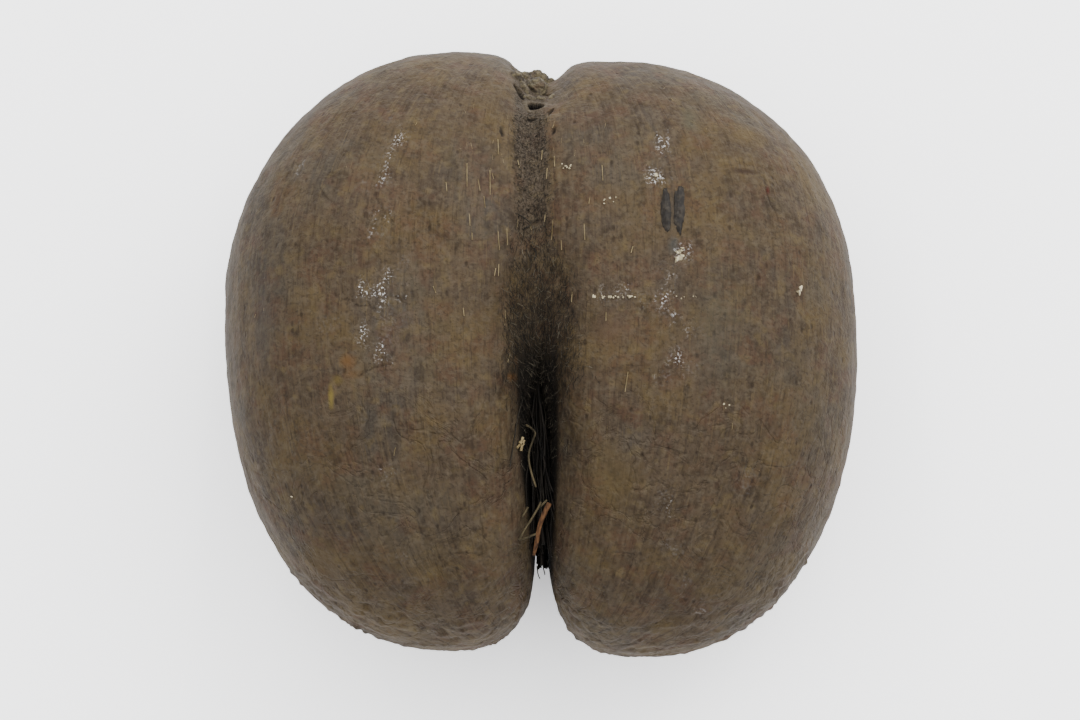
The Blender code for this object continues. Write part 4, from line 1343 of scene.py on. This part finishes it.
def shell_finish():
    """Mottled brown nut wood."""
    finish, tree, shader, here = new_finish("nut_shell")
    tone, (pale_line, dark_line, dust, grains) = mottled(tree, here)
    dots = dark_dots(tree, here)
    tone = mix(tree, times(tree, dots, 0.6), tone, colour(0.016, 0.010, 0.006))
    grit, grit_mask = tones(tree, here, 1200.0, 3.0, 0.38, 0.62,
                            colour(0.015, 0.012, 0.009), colour(0.084, 0.070, 0.053))
    tree.links.new(covered(tree, stained(tree, here, tone), grit), shader.inputs["Base Color"])

    settle(shader, Roughness=0.72, Specular_IOR_Level=0.12, Coat_Roughness=0.10, Coat_IOR=1.9)
    flecks = between(tree, noise_in(tree, here, FLECKS, 2.0), FLECKS_FROM, FLECKS_FULL)
    glossy = times(tree, flecks, mask_named(tree, "shiny"))
    tree.links.new(times(tree, glossy, 0.9), shader.inputs["Coat Weight"])

    gritty = maths(tree, "MAXIMUM", mask_named(tree, "furrow"), mask_named(tree, "cleft"))
    gritty = maths(tree, "MAXIMUM", gritty, mask_named(tree, "fan"))
    parts = (
        (noise_in(tree, here, 300.0, 4.0), 1.4),
        (soft_folds(tree, here), -1.5),
        (maths(tree, "SUBTRACT", dust, grains), 0.9),
        (maths(tree, "SUBTRACT", pale_line, dark_line), 0.6),
        (dots, -1.0),
        (times(tree, grit_mask, gritty), 1.2),
    )
    height = 0.0
    for part, share in parts:
        height = maths(tree, "MULTIPLY_ADD", part, share, height)
    put_bump(tree, shader, height, 0.6, 0.0005)
    return finish


shell.data.materials.append(shell_finish())
print("finish:", shell.data.materials[0].name)

# %% [markdown]
# ## The finishes of cork, husk and resin
# The rest is dull and fibrous, apart from the resin, which has a clear coat over black. Each is two or three tones
# from the same group, with the values of its own fibre.

# %% Fibre, cork and resin
def fibre_finish(name, first, second, roughness, scale=700.0, stretch=(1, 0.12, 1)):
    """Two tones that change along the fibre."""
    finish, tree, shader, here = new_finish(name)
    tone, mask = tones(tree, vectors(tree, "MULTIPLY", here, stretch), scale, 3.0, 0.36, 0.64, first, second)
    tree.links.new(tone, shader.inputs["Base Color"])
    settle(shader, Roughness=roughness, Specular_IOR_Level=0.15)
    put_bump(tree, shader, mask, 0.5, 0.0002)
    return finish


def cork_finish():
    """Crumbly cork, ochre on its crown and dark in its hollows."""
    finish, tree, shader, here = new_finish("stalk_cork")
    tone, mask = tones(tree, here, 520.0, 4.0, 0.36, 0.62, colour(0.026, 0.018, 0.010), colour(0.094, 0.073, 0.036))
    rust, _ = tones(tree, here, 210.0, 2.0, 0.54, 0.70, tone, colour(0.060, 0.030, 0.013), 0.55)
    tree.links.new(rust, shader.inputs["Base Color"])
    settle(shader, Roughness=0.85)
    put_bump(tree, shader, mask, 0.9, 0.0006)
    return finish


def resin_finish():
    """Black dried sap with a clear, slightly pitted coat."""
    finish, tree, shader, here = new_finish("resin")
    tone, mask = tones(tree, here, 380.0, 3.0, 0.45, 0.75, colour(0.010, 0.0075, 0.0055), colour(0.034, 0.027, 0.019))
    tree.links.new(tone, shader.inputs["Base Color"])
    settle(shader, Roughness=0.60, Specular_IOR_Level=0.12, Coat_Weight=0.06, Coat_Roughness=0.15)
    put_bump(tree, shader, mask, 0.6, 0.0003)
    return finish


scar.data.materials.append(cork_finish())
resin.data.materials.append(resin_finish())
strip.data.materials.append(
    fibre_finish("orange_husk", colour(0.026, 0.011, 0.005), colour(0.100, 0.046, 0.018), 0.75, 900.0, (1, 0.25, 1))
)
grey_hair = fibre_finish("grey_hair", colour(0.045, 0.038, 0.026), colour(0.120, 0.105, 0.075), 0.75)
black_hair = fibre_finish("black_hair", colour(0.006, 0.005, 0.004), colour(0.022, 0.017, 0.012), 0.75)
straw = fibre_finish("straw", colour(0.130, 0.095, 0.042), colour(0.300, 0.235, 0.125), 0.65)
# The pale chips' finish, which also paints glints as pale flakes
pale_chip_and_painted_glint = fibre_finish("pale_chip_and_painted_glint", colour(0.180, 0.150, 0.090), colour(0.520, 0.450, 0.300), 0.60)
dark_strand = fibre_finish("dark_strand", colour(0.003, 0.0026, 0.0022), colour(0.014, 0.011, 0.008), 0.80)
grey_strand = fibre_finish("grey_strand", colour(0.010, 0.009, 0.007), colour(0.034, 0.029, 0.021), 0.75)
olive_strand = fibre_finish("olive_strand", colour(0.022, 0.017, 0.009), colour(0.075, 0.058, 0.030), 0.75)
chips_and_painted_glints.data.materials.append(pale_chip_and_painted_glint)
print("finishes:", len(bpy.data.materials))

# %% [markdown]
# ## Growing the hairs and laying the strands
# The trees and finishes are ready, so each kind of hair or strand is one row of a table. Hairs need to know where to
# grow: a mask for each kind is worked out from the formula and kept on the shell, and the tree scatters by it.

# %% Where hairs and slivers grow
local = points - MIDDLE
off_middle, level, front = np.abs(from_middle_line(local)), local[:, 1], smooth_step(0.02, 0.05, local[:, 2])
below_crest = 1 - smooth_step(0.0795, 0.0825, local[:, 2])  # none at the very top, where they would leave the solid
places = {
    "fan_hairs": front * masks["fan"] * smooth_step(-0.072, -0.030, level) * below_crest,
    "fuzz": front * (1 - smooth_step(0.005, 0.010, off_middle)) * smooth_step(0.02, 0.045, level)
    * (1 - smooth_step(0.090, 0.098, level)),
    "slivers": front * below_crest * smooth_step(0.004, 0.010, off_middle) * np.exp(-((off_middle / 0.026) ** 2))
    * smooth_step(-0.012, 0.012, level) * (1 - smooth_step(0.085, 0.105, level)),
    "strays": below_crest * smooth_step(0.055, 0.070, local[:, 2]) * smooth_step(0.012, 0.03, off_middle)
    * smooth_step(-0.12, -0.02, level),
}
for name, mask in places.items():
    store_mask(name, mask)
print("hairs grow by:", sorted(places))

# %% Hairs: name, mask, number a square metre, finish, seed, length, radius, lift, spread and bend
HAIRS = (
    ("fan_hair", "fan_hairs", 1.7e6, black_hair, 4, 0.0030, 0.00008, 0.35, 0.6, 0.3),
    ("grey_curls", "fan_hairs", 2.4e5, grey_hair, 31, 0.0026, 0.00008, 0.45, 1.4, 0.9),
    ("furrow_fuzz", "fuzz", 1.6e6, black_hair, 9, 0.0013, 0.00008, 0.3, 0.9, 0.2),
    ("straw_slivers", "slivers", 1.3e4, straw, 14, 0.0040, 0.00008, 0.03, 0.14, 0.05),
    ("stray_slivers", "strays", 9.0e2, straw, 21, 0.0026, 0.00010, 0.02, 0.5, 0.1),
)
HAIR_INPUTS = ("Mask", "Density", "Material", "Seed", "Length", "Radius", "Lift", "Spread", "Bend")


def on_shell(name, *values):
    """Rods scattered over a copy of the shell."""
    piece = bpy.data.objects.new(name, shell.data.copy())
    bpy.context.scene.collection.objects.link(piece)
    return make_by_tree(piece, hairs_on_shell, **dict(zip(HAIR_INPUTS, values)))


pieces = [on_shell(*row) for row in HAIRS]

# %% Slivers, strands and bits: name, paths, finish, radius, sides, taper and knobbliness
LONG_SLIVERS = ("long_slivers", sliver_paths, straw, 0.00016, 4, 0.5, 0.4)
STRANDS = (
    ("beard_deep", deep_paths, dark_strand, 0.00058, 4, 0.7, 0.5),
    ("beard_front", front_paths, dark_strand, 0.00026, 4, 0.7, 0.5),
    ("beard_grey", grey_paths, grey_strand, 0.00026, 4, 0.6, 0.5),
    ("bits_dark", dark_paths, grey_strand, 0.00024, 4, 0.5, 0.5),
    ("bits_olive", olive_paths, olive_strand, 0.00048, 6, 0.3, 0.7),
    ("bits_pale", pale_paths, straw, 0.00060, 6, 0.3, 0.9),
)
ROD_INPUTS = ("Material", "Radius", "Sides", "Taper", "Knobbly")


def along_paths(name, paths, *values):
    """Rods along paths."""
    return make_by_tree(path_object(name, paths), rods_on_paths, **dict(zip(ROD_INPUTS, values)))


pieces += [along_paths(*LONG_SLIVERS), chips_and_painted_glints]
beard = [along_paths(*row) for row in STRANDS]
print("pieces on the nut:", len(pieces), "and in the cleft:", len(beard))

# %% [markdown]
# ## Table and light
# The nut lies on pale paper that glows, with a painted shadow where the nut stands over it, under soft ceiling light. A
# wide lamp above the stalk end gives the gentle fall of light towards the tips, and two long thin ones over the lobes
# give the two rows of glints on the grain.

# %% Table
TABLE_HALF = 3
PAPER_GLOW, SHADE_REACH, ROOM_LIGHT = 2.05, 0.22, 0.80

table = new_piece("table", [(x * TABLE_HALF, y * TABLE_HALF, 0) for x, y in ((-1, -1), (1, -1), (1, 1), (-1, 1))],
                  [(0, 1, 2, 3)])
paper, paper_tree, paper_shader, _ = new_finish("table_paper")
settle(paper_shader, Base_Color=colour(0.86, 0.86, 0.87), Roughness=0.7, Emission_Strength=PAPER_GLOW)
# The paper is overexposed in the photograph, so it glows, but less the more the nut stands over it.
shade = add(paper_tree, "ShaderNodeAmbientOcclusion", {"Distance": SHADE_REACH}, samples=4).outputs["AO"]
glow = mix(paper_tree, shade, colour(0.0, 0.0, 0.01), colour(1.0, 1.0, 1.0))
paper_tree.links.new(glow, paper_shader.inputs["Emission Color"])
table.data.materials.append(paper)

room = bpy.data.worlds.new("room")
bpy.context.scene.world = room
room.use_nodes = True
settle(room.node_tree.nodes["Background"], Color=colour(0.95, 0.97, 1.0), Strength=ROOM_LIGHT)

# %% Lamps: name, place, target, sides and watts
LAMPS = (
    ("ceiling", (0.65, 0.75, 1.2), (0, 0, 0.1), (1.1, 1.0), 24),
    ("strip_left", (-0.36, 0.55, 1.10), (-0.10, 0.20, 0.15), (0.12, 3.2), 13),
    ("strip_right", (0.13, 0.35, 1.10), (0.05, 0.15, 0.15), (0.05, 3.0), 6),
)


def lamp(name, place, target, size, power):
    """A rectangular soft lamp that faces a target, its second side along the nut."""
    light = bpy.data.lights.new(name, "AREA")
    light.shape = "RECTANGLE"
    light.size, light.size_y = size
    light.energy = power
    lamp_object = bpy.data.objects.new(name, light)
    bpy.context.scene.collection.objects.link(lamp_object)
    back = (Vector(place) - Vector(target)).normalized()
    along = (Vector((0, 1, 0)) - back * back.y).normalized()
    turn = Matrix((along.cross(back), along, back)).transposed()
    lamp_object.matrix_world = Matrix.Translation(place) @ turn.to_4x4()


for row in LAMPS:
    lamp(*row)
print("lamps:", len(bpy.data.lights))

# %% [markdown]
# ## What stands for what
# The fine pieces take the place of the imported solids. The shell, its scar, the resin and the hairs stand for the nut,
# the beard and the loose bits for the fibres, and the strip for the strip. Nothing moves, so all ride on one body.

# %% Ride and replace
NUT_PIECES = [shell, scar, resin, *pieces]
for piece in NUT_PIECES:
    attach(piece, "root")
    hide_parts("nut")
for piece in beard:
    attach(piece, "root")
    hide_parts("cleft_fibres")
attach(strip, "root")
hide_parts("husk_strip")
